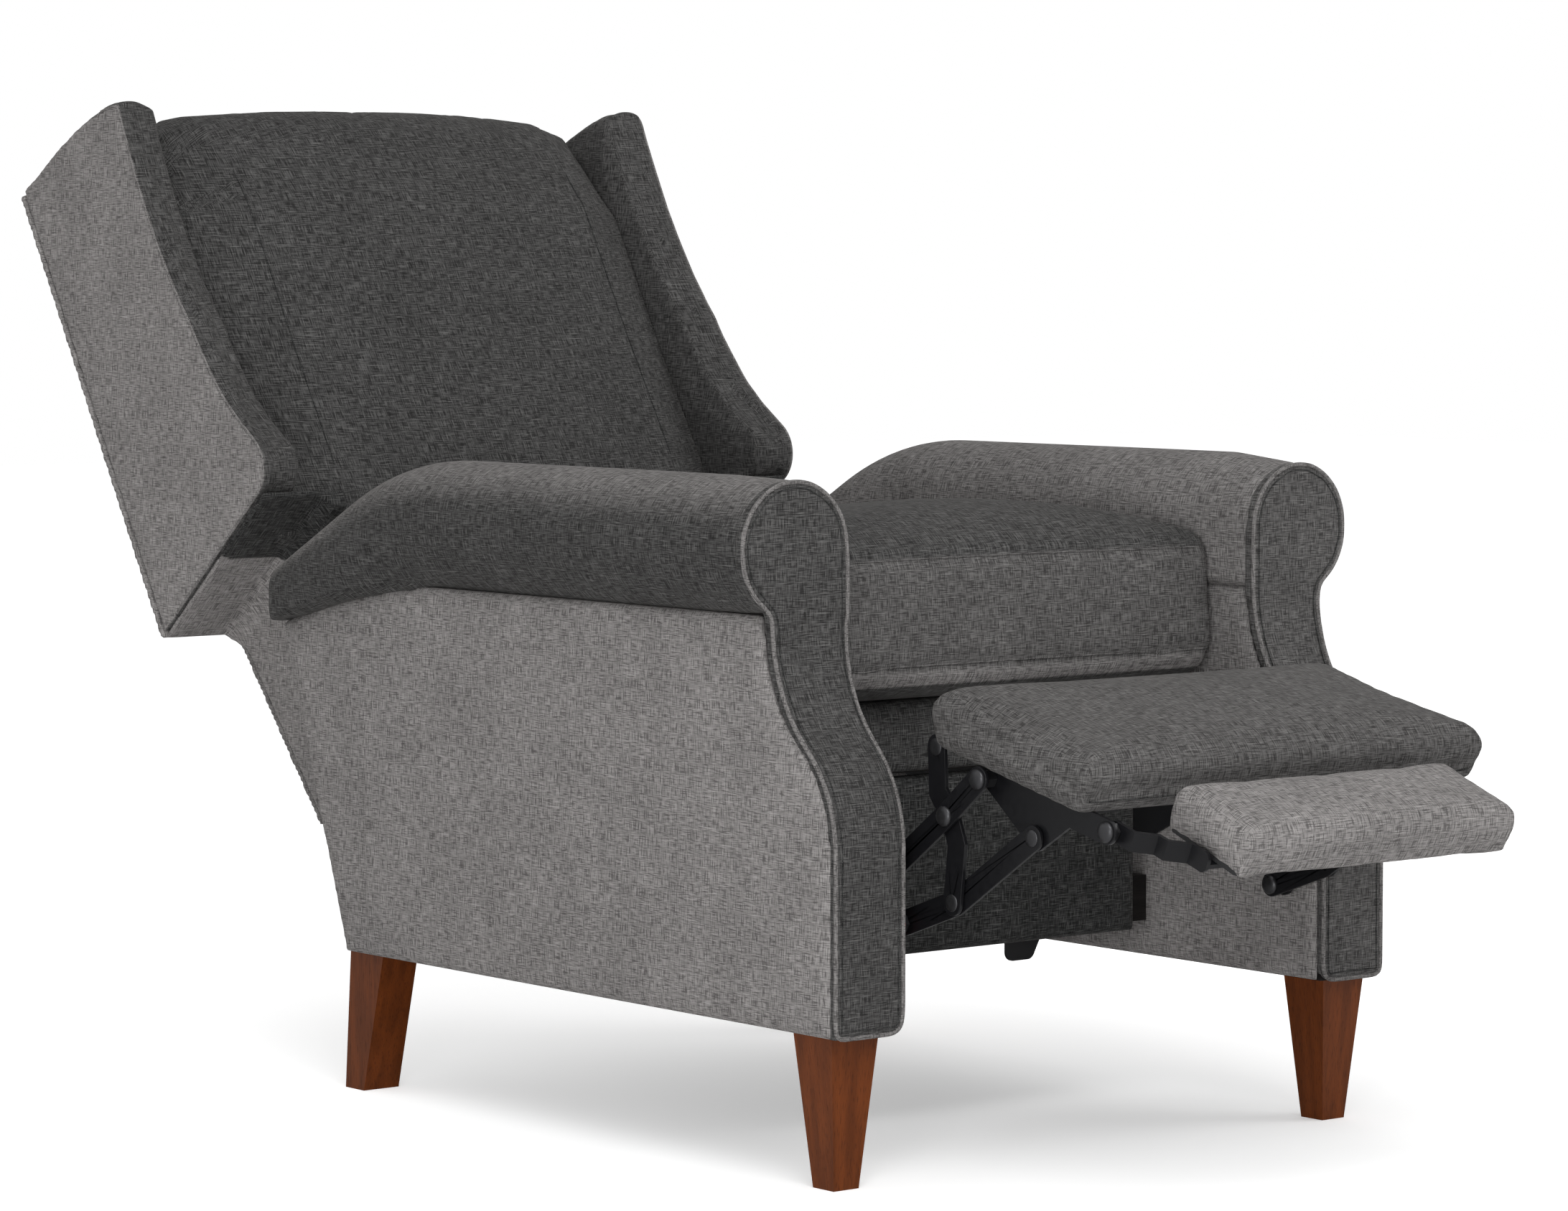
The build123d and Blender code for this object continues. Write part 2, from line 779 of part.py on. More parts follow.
# Fabric band on the front rail and the panel that hangs below it
save(
    seat_bar(
        -seat_rail_outer_x, seat_rail_outer_x,
        seat_rail_front - band_thickness, seat_rail_front, rail_bottom, rail_top,
    ),
    "seat_front_band",
)
panel_front_y = seat_point(seat_rail_front, rail_bottom)[0]
panel_top_z = seat_point(seat_rail_front + panel_thickness, rail_bottom)[1] - side_clearance
save(
    box_between(
        (-front_panel_half_width, panel_front_y, front_panel_z),
        (front_panel_half_width, panel_front_y + panel_thickness, panel_top_z),
    ),
    "seat_front_panel",
)


def back_plane(x):
    # Side view of the back: local x is s, forwards, and local y is t, up along the back
    lean = radians(back_lean)
    return Plane(origin=(x, back_y, back_z), x_dir=(0, -cos(lean), sin(lean)), z_dir=(-1, 0, 0))


def back_point(s, t):
    place = back_plane(0).from_local_coords((s, t, 0))
    return (place.Y, place.Z)


def back_slab(inner_x, outer_x, corners):
    # A piece of the back with a straight-sided side view, from inner to outer x on the right
    with BuildPart() as slab:
        with BuildSketch(back_plane(-inner_x)):
            with BuildLine():
                Polyline(*corners, close=True)
            make_face()
        extrude(amount=outer_x - inner_x)
    return slab.part


def corners_of(s_low, t_low, s_high, t_high):
    return [(s_low, t_low), (s_high, t_low), (s_high, t_high), (s_low, t_high)]


# Hinge plates on the seat rails, and the brackets on the posts that turn on them
back_pivot = back_point(back_pivot_s, back_pivot_t)
hinge_lug = (back_pivot, bracket_lug)
hinge_upper = seat_point(seat_rail_rear - 3 * bracket_lug, rail_top - bracket_lug)
hinge_lower = seat_point(seat_rail_rear - 3 * bracket_lug, rail_bottom + bracket_lug)
hinge_hole = (back_pivot, seat_bolt_radius + running_clearance)
hinge_outer_x = seat_rail_outer_x + plate
save_both_sides(
    hull_plate(
        hinge_outer_x,
        [hinge_lug, (hinge_upper, bracket_lug), (hinge_lower, bracket_lug)],
        [hinge_hole],
    ),
    "back_hinge_brackets",
)
post_outer_x = lower_back_x - side_skin
post_inner_x = post_outer_x - back_post_width
post_rear = back_rail_depth
post_front = back_rail_depth + back_post_depth
post_foot = -lower_back_drop + side_skin
post_bracket_upper = back_point((post_rear + post_front) / 2, back_pivot_t + 5 * bracket_lug)
post_bracket_lower = back_point((post_rear + post_front) / 2, post_foot + bracket_lug)
save_both_sides(
    hull_plate(
        post_inner_x,
        [hinge_lug, (post_bracket_upper, bracket_lug), (post_bracket_lower, bracket_lug)],
        [hinge_hole],
    ),
    "back_brackets",
)
head_x = post_inner_x + side_clearance
nut_x = seat_rail_outer_x - side_clearance
back_pivot_bolts = pin(
    back_pivot, seat_bolt_radius, head_x + pin_head_height, nut_x - pin_head_height,
    [(head_x + pin_head_height, head_x), (nut_x, nut_x - pin_head_height)],
)
save_both_sides(back_pivot_bolts, "back_pivot_bolts")

# Wooden frame of the back
save_pair(
    back_slab(post_inner_x, post_outer_x, corners_of(post_rear, post_foot, post_front, back_post_top)),
    "back_post",
)
wing_board_outer_x = wing_outer_x - wing_skin
wing_board_inner_x = wing_board_outer_x - wing_board_thickness
for name, rail_t in (("back_top_rail", back_top_rail_t), ("back_middle_rail", back_middle_rail_t)):
    save(
        back_slab(
            -wing_board_inner_x, wing_board_inner_x,
            corners_of(0, rail_t, back_rail_depth, rail_t + back_rail_height),
        ),
        name,
    )
save(
    back_slab(
        -post_outer_x, post_outer_x,
        corners_of(
            lower_back_step, post_foot, back_rail_depth, post_foot + back_bottom_rail_height
        ),
    ),
    "back_bottom_rail",
)

# Webbing straps between the posts
back_strap_pitch = (back_top_rail_t - back_middle_rail_t) / back_webbing_count
with BuildPart() as back_webbing:
    for index in range(back_webbing_count):
        strap_t = back_middle_rail_t + back_rail_height + index * back_strap_pitch
        add(
            back_slab(
                -post_inner_x, post_inner_x,
                corners_of(
                    post_front - webbing_thickness, strap_t, post_front, strap_t + webbing_width
                ),
            )
        )
save(back_webbing.part, "back_webbing")

# Covers of the outer back: the upper panel, the lower panel that slopes in, and its two sides
save(
    back_slab(
        -wing_outer_x, wing_outer_x,
        corners_of(-outer_back_thickness, panel_gap - lower_back_gap, 0, wing_height),
    ),
    "outer_back_panel",
)
save(
    back_slab(
        -lower_back_x, lower_back_x,
        [
            (0, -lower_back_gap),
            (lower_back_step, -lower_back_drop),
            (lower_back_step - outer_back_thickness, -lower_back_drop),
            (-outer_back_thickness, -lower_back_gap),
        ],
    ),
    "lower_back_panel",
)
save_both_sides(
    back_slab(
        post_outer_x, lower_back_x,
        [
            (0, -lower_back_gap),
            (lower_back_step, -lower_back_drop),
            (post_front, -lower_back_drop),
            (back_pad_edge, back_pad_foot_t / 2),
            (back_pad_edge, -lower_back_gap),
        ],
    ),
    "back_side_panels",
)


def wing_outline():
    # Side view of a wing: straight rear, sloped top, waisted front that flares to a round nose
    shoulder_t = wing_height - wing_shoulder_drop
    with BuildSketch() as outline:
        with BuildLine():
            Line((0, 0), (0, wing_height))
            ThreePointArc(
                (0, wing_height),
                (wing_top_depth / 2, wing_height - wing_shoulder_drop / 4),
                (wing_top_depth, shoulder_t),
            )
            ThreePointArc(
                (wing_top_depth, shoulder_t),
                (wing_waist_depth, wing_waist_t),
                (wing_flare_depth, wing_flare_t),
            )
            flare = TangentArc(
                (wing_flare_depth, wing_flare_t), (wing_nose_depth, wing_nose_t),
                tangent=(wing_flare_slope, -1),
            )
            nose_end = (wing_nose_depth - wing_nose_round / 3, wing_nose_t - wing_nose_round)
            TangentArc(flare @ 1, nose_end, tangent=flare % 1)
            Line(nose_end, (0, 0))
        make_face()
    return outline.sketch


# Plywood wing boards, let into the padded wing covers
with BuildPart() as wing_board:
    with BuildSketch(back_plane(-wing_board_inner_x)):
        add(wing_outline())
        offset(amount=-wing_edge_pad, mode=Mode.REPLACE)
    extrude(amount=wing_board_thickness)
save_both_sides(wing_board.part, "wing_boards")
with BuildPart() as wing_pad:
    with BuildSketch(back_plane(-wing_inner_x)):
        add(wing_outline())
    extrude(amount=wing_outer_x - wing_inner_x)
    with BuildSketch(back_plane(-wing_board_inner_x + side_clearance)):
        add(wing_outline())
        offset(amount=-wing_edge_pad + side_clearance, mode=Mode.REPLACE)
    extrude(amount=wing_board_thickness + 2 * side_clearance, mode=Mode.SUBTRACT)
    with BuildSketch(back_plane(-wing_inner_x)):
        with Locations((0, wing_height / 2)):
            Rectangle(2 * (back_rail_depth + side_clearance), 2 * wing_height)
    extrude(amount=wing_board_inner_x - wing_inner_x, mode=Mode.SUBTRACT)
save_pair(wing_pad.part, "wing_pad")


def back_pad_section(t, half_width, edge, crown):
    # Section across the back cushion, square to the back: flat behind, crowned in front
    lean = radians(back_lean)
    y, z = back_point(0, t)
    rear = post_front + side_clearance
    level = Plane(origin=(0, y, z), x_dir=(-1, 0, 0), z_dir=(0, sin(lean), cos(lean)))
    with BuildSketch(level) as section:
        with BuildLine():
            Polyline(
                (half_width, edge), (half_width, rear), (-half_width, rear), (-half_width, edge)
            )
            ThreePointArc((-half_width, edge), (0, edge + crown), (half_width, edge))
        make_face()
    return section.sketch


# The inner back in one piece: a tail that goes down between the arms and the wide upper part
tail_edge = post_front + back_pad_crown / 2
with BuildPart() as back_cushion:
    add(back_pad_section(back_pad_foot_t, back_pad_tail, tail_edge, back_pad_crown / 3))
    add(back_pad_section(back_pad_foot_t / 2, back_pad_tail, back_pad_edge, back_pad_crown / 2))
    add(
        back_pad_section(
            back_pad_waist_t + band_thickness, back_pad_waist,
            back_pad_edge - band_thickness, back_pad_crown,
        )
    )
    loft(ruled=True)
    add(back_pad_section(back_pad_waist_t, back_pad_half_width, back_pad_edge, back_pad_crown))
    add(back_pad_section(wing_flare_t, back_pad_half_width, back_pad_edge, back_pad_crown))
    add(back_pad_section(wing_waist_t, back_pad_half_width, wing_waist_depth, back_pad_crown))
    add(
        back_pad_section(
            back_pad_top_t, back_pad_half_width - back_pad_arch / 2,
            back_pad_edge - back_pad_arch, back_pad_crown,
        )
    )
    add(
        back_pad_section(
            back_pad_top_t + back_pad_arch, back_pad_half_width - 2 * back_pad_arch,
            back_pad_edge - 2 * back_pad_arch, back_pad_crown / 2,
        )
    )
    loft(ruled=True)
    top_y, top_z = back_point(side_clearance, back_post_top + side_clearance)
    crest = Plane(
        origin=(0, top_y, top_z), x_dir=(1, 0, 0),
        z_dir=(0, -cos(radians(back_lean)), sin(radians(back_lean))),
    )
    crest_rise = back_pad_top_t - back_post_top - side_clearance
    with BuildSketch(crest):
        with BuildLine():
            Polyline(
                (-back_pad_half_width, crest_rise), (-back_pad_half_width, 0),
                (back_pad_half_width, 0), (back_pad_half_width, crest_rise),
            )
            ThreePointArc(
                (back_pad_half_width, crest_rise),
                (0, crest_rise + back_pad_arch),
                (-back_pad_half_width, crest_rise),
            )
        make_face()
    extrude(amount=post_front + back_pad_arch)
save(back_cushion.part, "back_cushion")

# Bell cranks, which carry both long links of each side
save_both_sides(
    hull_plate(
        crank_x,
        [
            (crank_pivot, link_width / 2),
            (crank_upper, link_width / 2),
            (crank_lower, link_width / 2),
        ],
        [
            (crank_pivot, pin_radius + running_clearance),
            (crank_upper, pin_radius + running_clearance),
            (crank_lower, pin_radius + running_clearance),
        ],
    ),
    "crank_links",
)


def rivet(point, outer_x, inner_x, spacers):
    # A rivet through two links: a head outside, a nut inside, and spacers where they stand apart
    head_x = outer_x + pin_head_height
    nut_x = inner_x - side_clearance
    ends = [(head_x, outer_x), (nut_x, nut_x - pin_head_height)]
    return pin(point, pin_radius, head_x, nut_x - pin_head_height, ends + spacers)


upper_link_inner_x = upper_link_x - plate
with BuildPart() as crank_rivets:
    add(rivet(crank_upper, crank_x, upper_link_inner_x, []))
    add(
        rivet(
            crank_lower, crank_x, lower_link_x - plate,
            [(crank_inner_x, lower_link_x + side_clearance)],
        )
    )
save_both_sides(crank_rivets.part, "crank_rivets")

# Long links, short cross links and bent lower links
save_both_sides(
    flat_link(
        upper_link_x,
        [crank_upper, cross_on_upper, upper_link_front],
        [crank_upper, cross_on_upper, upper_link_front],
    ),
    "upper_links",
)
cross_knee_upper = (cross_top[0] - cross_upper_lean, cross_top_z - cross_upper_bend)
cross_knee_lower = (cross_on_lower[0] - cross_lower_lean, cross_on_lower_z + cross_lower_bend)
save_both_sides(
    flat_link(
        cross_link_x,
        [cross_top, cross_knee_upper, cross_on_upper, cross_knee_lower, cross_on_lower],
        [cross_top, cross_on_upper, cross_on_lower],
    ),
    "cross_links",
)
save_both_sides(
    flat_link(
        lower_link_x,
        [crank_lower, cross_on_lower, lower_link_front],
        [crank_lower, cross_on_lower, lower_link_front],
    ),
    "lower_links",
)
with BuildPart() as upper_rivets:
    add(rivet(cross_on_upper, upper_link_x, cross_link_x - plate, []))
    add(
        rivet(
            upper_link_front, upper_link_x, footrest_bracket_x - plate,
            [(upper_link_inner_x, footrest_bracket_x + side_clearance)],
        )
    )
save_both_sides(upper_rivets.part, "upper_rivets")


def pad_plane(x):
    # Side view of the footrest: local x is u, forwards, and local y is w, up from the pad
    lean = radians(pad_tilt)
    return Plane(origin=(x, pad_y, pad_z), x_dir=(0, -cos(lean), -sin(lean)), z_dir=(-1, 0, 0))


def pad_point(u, w):
    place = pad_plane(0).from_local_coords((u, w, 0))
    return (place.Y, place.Z)


def flap_plane(x):
    # Side view of the flap: local x is p, forwards from its hinge, and local y is q, up
    lean = radians(flap_tilt)
    y, z = pad_point(flap_hinge_u, flap_hinge_w)
    return Plane(origin=(x, y, z), x_dir=(0, -cos(lean), -sin(lean)), z_dir=(-1, 0, 0))


def leaning_block(plane, width, rear, front, low, high):
    # A board in a leaning side view, extruded sideways from its plane
    with BuildPart() as block:
        with BuildSketch(plane):
            with Locations(((rear + front) / 2, (low + high) / 2)):
                Rectangle(front - rear, high - low)
        extrude(amount=width)
    return block.part


def pad_section(plane, rear, front, low, high, crown):
    # Side view of a small pad: flat underneath, rounded ends, crowned top
    round_end = (high - low) / 4
    with BuildSketch(plane) as section:
        with BuildLine():
            Line((rear + round_end, low), (front - round_end, low))
            ThreePointArc(
                (front - round_end, low),
                (front + round_end / 2, (low + high) / 2),
                (front - round_end / 2, high),
            )
            ThreePointArc(
                (front - round_end / 2, high),
                ((rear + front) / 2, high + crown),
                (rear + round_end / 2, high),
            )
            ThreePointArc(
                (rear + round_end / 2, high),
                (rear - round_end / 2, (low + high) / 2),
                (rear + round_end, low),
            )
        make_face()
    return section.sketch


def pad_front(point, forward, half_width, low, high, crown):
    # Front view of a small pad: flat underneath, rounded ends, crowned top
    across = Plane(origin=(0, *point), x_dir=(1, 0, 0), z_dir=forward)
    round_end = (high - low) / 4
    with BuildSketch(across) as section:
        with BuildLine():
            Line((round_end - half_width, low), (half_width - round_end, low))
            ThreePointArc(
                (half_width - round_end, low),
                (half_width, (low + high) / 2),
                (half_width - round_end, high),
            )
            ThreePointArc(
                (half_width - round_end, high), (0, high + crown), (round_end - half_width, high)
            )
            ThreePointArc(
                (round_end - half_width, high),
                (-half_width, (low + high) / 2),
                (round_end - half_width, low),
            )
        make_face()
    return section.sketch


# Footrest: padded board on two folded brackets
board_bottom = -pad_thickness - board_thickness
save(
    leaning_block(
        pad_plane(footrest_board_half_width), 2 * footrest_board_half_width,
        footrest_board_rear, footrest_board_front, board_bottom, -pad_thickness,
    ),
    "footrest_board",
)
pad_forward = (0, -cos(radians(pad_tilt)), -sin(radians(pad_tilt)))
with BuildPart() as footrest_pad:
    add(pad_section(pad_plane(pad_half_width), 0, pad_length, -pad_thickness, 0, pad_crown))
    extrude(amount=2 * pad_half_width, dir=(-1, 0, 0))
    add(pad_front((pad_y, pad_z), pad_forward, pad_half_width, -pad_thickness, 0, pad_crown))
    extrude(amount=2 * pad_length, dir=pad_forward, both=True, mode=Mode.INTERSECT)
save(footrest_pad.part, "footrest_pad")
flap_hinge = pad_point(flap_hinge_u, flap_hinge_w)
flange_low = board_bottom - plate
lug = link_width / 2
with BuildPart() as footrest_bracket:
    add(
        hull_plate(
            footrest_bracket_x,
            [
                (upper_link_front, lug - side_clearance),
                (lower_link_front, lug),
                (pad_point(flange_rear + plate, board_bottom - plate), plate),
                (pad_point(flange_front - plate, board_bottom - plate), plate),
            ],
            [
                (upper_link_front, pin_radius + running_clearance),
                (lower_link_front, pin_radius + running_clearance),
            ],
        )
    )
    add(
        hull_plate(
            footrest_bracket_x,
            [
                (pad_point(flange_front - lug, flap_hinge_w), lug - side_clearance),
                (flap_hinge, lug - side_clearance),
            ],
            [(flap_hinge, pin_radius + running_clearance)],
        )
    )
    add(
        leaning_block(
            pad_plane(-footrest_bracket_x + flange_width), flange_width,
            flange_rear, flange_front, flange_low, board_bottom,
        )
    )
save_both_sides(footrest_bracket.part, "footrest_brackets")
flap_pin = rivet(
    flap_hinge, footrest_bracket_x, flap_bracket_x - plate,
    [(footrest_bracket_x - plate, flap_bracket_x + side_clearance)],
)
save_both_sides(flap_pin, "flap_pins")

# Flap: a small padded board on two brackets that hinge on the footrest
flap_pad_low = flap_board_low + flap_board_thickness
save(
    leaning_block(
        flap_plane(flap_half_width - plate), 2 * (flap_half_width - plate),
        flap_rear + plate, flap_front - plate, flap_board_low, flap_pad_low,
    ),
    "flap_board",
)
flap_pad_high = flap_pad_low + flap_pad_thickness
flap_forward = (0, -cos(radians(flap_tilt)), -sin(radians(flap_tilt)))
with BuildPart() as flap_pad:
    add(
        pad_section(
            flap_plane(flap_half_width), flap_rear, flap_front,
            flap_pad_low, flap_pad_high, flap_crown,
        )
    )
    extrude(amount=2 * flap_half_width, dir=(-1, 0, 0))
    add(
        pad_front(
            flap_hinge, flap_forward, flap_half_width, flap_pad_low, flap_pad_high, flap_crown
        )
    )
    extrude(amount=2 * flap_front, dir=flap_forward, both=True, mode=Mode.INTERSECT)
save(flap_pad.part, "flap_pad")
flap_upward = (0, -sin(radians(flap_tilt)), cos(radians(flap_tilt)))
arm_middle_x = flap_bracket_x - plate / 2
arm_end_x = flap_half_width + flap_arm_gap + plate / 2
arm_steps = [
    (arm_middle_x, -link_width),
    (arm_middle_x, flap_arm_first - flap_arm_jog),
    ((arm_middle_x + arm_end_x) / 2, flap_arm_first),
    ((arm_middle_x + arm_end_x) / 2, flap_arm_second - flap_arm_jog),
    (arm_end_x, flap_arm_second),
    (arm_end_x, flap_arm_length),
]
with BuildPart() as flap_bracket:
    low_y, low_z = [a - flap_lug * b for a, b in zip(flap_hinge, flap_upward[1:])]
    with BuildSketch(Plane(origin=(0, low_y, low_z), x_dir=(-1, 0, 0), z_dir=flap_upward)):
        with BuildLine():
            Polyline(*arm_steps)
        trace(line_width=plate)
        with Locations(*arm_steps[1:-1]):
            Circle(plate / 2)
    extrude(amount=flap_lug + flap_pad_low)
    with BuildSketch(flap_plane(0)):
        Circle(flap_lug)
        with Locations(
            (flap_arm_length - flap_arm_round, flap_arm_round - flap_arm_drop),
            (flap_arm_length - flap_arm_round, flap_pad_low - flap_arm_round),
        ):
            Circle(flap_arm_round)
        make_hull()
        Circle(pin_radius + running_clearance, mode=Mode.SUBTRACT)
    extrude(amount=flap_bracket_x, mode=Mode.INTERSECT)
    with BuildSketch(flap_plane(-flap_half_width + flange_width)):
        with Locations(((flap_arm_second + flap_arm_length) / 2, flap_board_low - plate / 2)):
            Rectangle(flap_arm_length - flap_arm_second, plate)
    extrude(amount=arm_end_x - flap_half_width + flange_width)
save_both_sides(flap_bracket.part, "flap_brackets")
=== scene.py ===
from math import cos, exp, pi, radians, sin

import bmesh
import bpy
from mathutils import Matrix, Vector, noise
from mathutils.bvhtree import BVHTree
from mathutils.kdtree import KDTree


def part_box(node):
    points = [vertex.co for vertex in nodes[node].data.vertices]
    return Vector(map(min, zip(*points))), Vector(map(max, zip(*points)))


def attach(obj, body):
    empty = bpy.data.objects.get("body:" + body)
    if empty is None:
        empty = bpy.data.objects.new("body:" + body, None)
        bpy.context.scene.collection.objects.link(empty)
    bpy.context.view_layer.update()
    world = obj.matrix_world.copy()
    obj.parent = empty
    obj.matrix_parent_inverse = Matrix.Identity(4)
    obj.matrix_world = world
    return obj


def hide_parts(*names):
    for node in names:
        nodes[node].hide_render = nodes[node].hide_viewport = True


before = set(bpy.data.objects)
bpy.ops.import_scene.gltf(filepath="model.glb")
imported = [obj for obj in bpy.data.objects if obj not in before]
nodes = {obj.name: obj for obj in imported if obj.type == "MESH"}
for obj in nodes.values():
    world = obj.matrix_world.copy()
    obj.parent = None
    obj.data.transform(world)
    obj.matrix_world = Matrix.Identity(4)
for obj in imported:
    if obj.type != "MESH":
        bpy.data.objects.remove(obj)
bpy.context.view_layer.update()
scene = bpy.context.scene

# Legs: four short feet of solid beech, square and tapered at the front and raked at the rear.
# They are stained a warm red brown, lacquered to a low gloss and bolted up into the arm frames.
leg_ease = 0.0025
bevel_angle = radians(35)
join_distance = 0.00002
noise_low = 0.3
noise_high = 0.7
pore_low = 0.25
pore_high = 0.5
pore_fineness = 9


def new_material(name):
    # A material with its node tree and its Principled shader
    material = bpy.data.materials.new(name)
    material.use_nodes = True
    return material, material.node_tree, material.node_tree.nodes["Principled BSDF"]


def add_node(tree, kind, **values):
    # A new node with its settings
    node = tree.nodes.new(kind)
    for key, value in values.items():
        setattr(node, key, value)
    return node


def ranged(tree, value, low, high, first=0.0, last=1.0):
    # Spread a value softly from one range to another
    ramp = add_node(tree, "ShaderNodeMapRange", interpolation_type="SMOOTHSTEP")
    ramp.inputs["From Min"].default_value = low
    ramp.inputs["From Max"].default_value = high
    ramp.inputs["To Min"].default_value = first
    ramp.inputs["To Max"].default_value = last
    tree.links.new(value, ramp.inputs["Value"])
    return ramp.outputs[0]


def stretched_noise(tree, coordinates, stretch, detail):
    # Noise whose spots are drawn out by a different amount along each axis
    spread = add_node(tree, "ShaderNodeVectorMath", operation="MULTIPLY")
    spread.inputs[1].default_value = stretch
    tree.links.new(coordinates, spread.inputs[0])
    texture = add_node(tree, "ShaderNodeTexNoise")
    texture.inputs["Scale"].default_value = 1.0
    texture.inputs["Detail"].default_value = detail
    tree.links.new(spread.outputs[0], texture.inputs["Vector"])
    return texture.outputs["Fac"]


def bump_into(tree, shader, height, strength, distance):
    # Let a height tilt the surface of a shader
    bump = add_node(tree, "ShaderNodeBump")
    bump.inputs["Strength"].default_value = strength
    bump.inputs["Distance"].default_value = distance
    tree.links.new(height, bump.inputs["Height"])
    tree.links.new(bump.outputs["Normal"], shader.inputs["Normal"])


def timber(name, early, late, stretch, gloss):
    # Wood of one species and finish: long bands and fine pores along the axis of least stretch
    material, tree, shader = new_material(name)
    place = add_node(tree, "ShaderNodeTexCoord")
    bands = stretched_noise(tree, place.outputs["Object"], stretch, 5.0)
    pore_stretch = [pore_fineness * value for value in stretch]
    pores = stretched_noise(tree, place.outputs["Object"], pore_stretch, 2.0)
    wood = add_node(tree, "ShaderNodeMix", data_type="RGBA")
    wood.inputs["A"].default_value = early
    wood.inputs["B"].default_value = late
    tree.links.new(ranged(tree, bands, noise_low, noise_high), wood.inputs["Factor"])
    open_pores = ranged(tree, pores, pore_low, pore_high, 0.62, 1.0)
    stained = add_node(tree, "ShaderNodeVectorMath", operation="SCALE")
    tree.links.new(wood.outputs["Result"], stained.inputs[0])
    tree.links.new(open_pores, stained.inputs["Scale"])
    tree.links.new(stained.outputs[0], shader.inputs["Base Color"])
    lacquer = ranged(tree, pores, pore_low, pore_high, 0.5, 0.36)
    tree.links.new(lacquer, shader.inputs["Roughness"])
    shader.inputs["Specular IOR Level"].default_value = gloss
    bump_into(tree, shader, open_pores, 0.12, 0.0004)
    return material


leg_early = (0.135, 0.032, 0.005, 1)
leg_late = (0.090, 0.021, 0.003, 1)
leg_finish = timber("red_brown_beech", leg_early, leg_late, (95, 95, 9), 0.14)


def dress(node, finish):
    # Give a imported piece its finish
    nodes[node].data.materials.clear()
    nodes[node].data.materials.append(finish)


def ease_edges(node, width):
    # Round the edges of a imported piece, whose triangles are joined first
    weld = nodes[node].modifiers.new("Joined faces", "WELD")
    weld.merge_threshold = join_distance
    bevel = nodes[node].modifiers.new("Eased edges", "BEVEL")
    bevel.width = width
    bevel.segments = 3
    bevel.limit_method = "ANGLE"
    bevel.angle_limit = bevel_angle
    bevel.harden_normals = True


for place in ("front_right", "front_left", "rear_right", "rear_left"):
    dress("leg_" + place, leg_finish)
    ease_edges("leg_" + place, leg_ease)

# Arm frames, cross rails, seat frame and back frame: pine and plywood boards, screwed and glued.
# They are rough sawn, and those one can look at under the seat or between the covers are near black
# with painted shade.
pine_early = (0.50, 0.33, 0.17, 1)
pine_late = (0.36, 0.21, 0.09, 1)
# Near black pine for boards seen in shade: painted shade.
shade_dark_early = (0.020, 0.018, 0.017, 1)
shade_dark_late = (0.011, 0.010, 0.010, 1)
sawn_finish = timber("sawn_pine", pine_early, pine_late, (70, 7, 70), 0.1)
painted_shade_finish = timber("shade_dark_pine", shade_dark_early, shade_dark_late, (7, 70, 70), 0.1)
for board in (
    "back_post_right", "back_post_left", "back_top_rail", "back_middle_rail", "wing_boards",
):
    dress(board, sawn_finish)
for board in (
    "arm_frame_right", "arm_frame_left", "front_cross_rail", "rear_cross_rail", "seat_rail_right",
    "seat_rail_left", "seat_front_rail", "seat_rear_rail", "back_bottom_rail",
):
    dress(board, painted_shade_finish)

# Arms: each is a plywood frame covered outside and inside with a padded panel of chenille.
# A stuffed roll lies along the top, and a padded front panel with a welted edge ends in a scroll.
thread_pitch = 0.0010
thread_length = 0.012
slub_pitch = 0.0016
slub_length = 0.030
cloud_size = 0.06
welt_radius = 0.0022
stitch_radius = 0.0007
stitch_inset = 0.009
sewn_lift = 0.3
seam_pitch = 0.006
ground_colours = (0.016, 0.0163, 0.0163, 1), (0.172, 0.163, 0.160, 1)
thread_colours = (0.042, 0.0425, 0.042, 1), (0.262, 0.250, 0.245, 1)
slub_colours = (0.085, 0.085, 0.083, 1), (0.345, 0.331, 0.323, 1)
cover_voxel = 0.005
fine_voxel = 0.004
cushion_voxel = 0.006
padding_rise = 0.004
padding_reach = 0.009
padding_unevenness = 0.33
padding_waves = 8
fill_pressure = 4.0
fill_frames = 20
welt_nap = 0.6
thread_nap = 0.02
smooth_nap = 0.11
side_nap = 0.9
inner_nap = 0.62
# Below these heights the inner panels are painted paler: painted light.
inner_light_start_z = 0.40
inner_light_full_z = 0.28
inner_rise = 0.0008
inner_tuck = 0.005


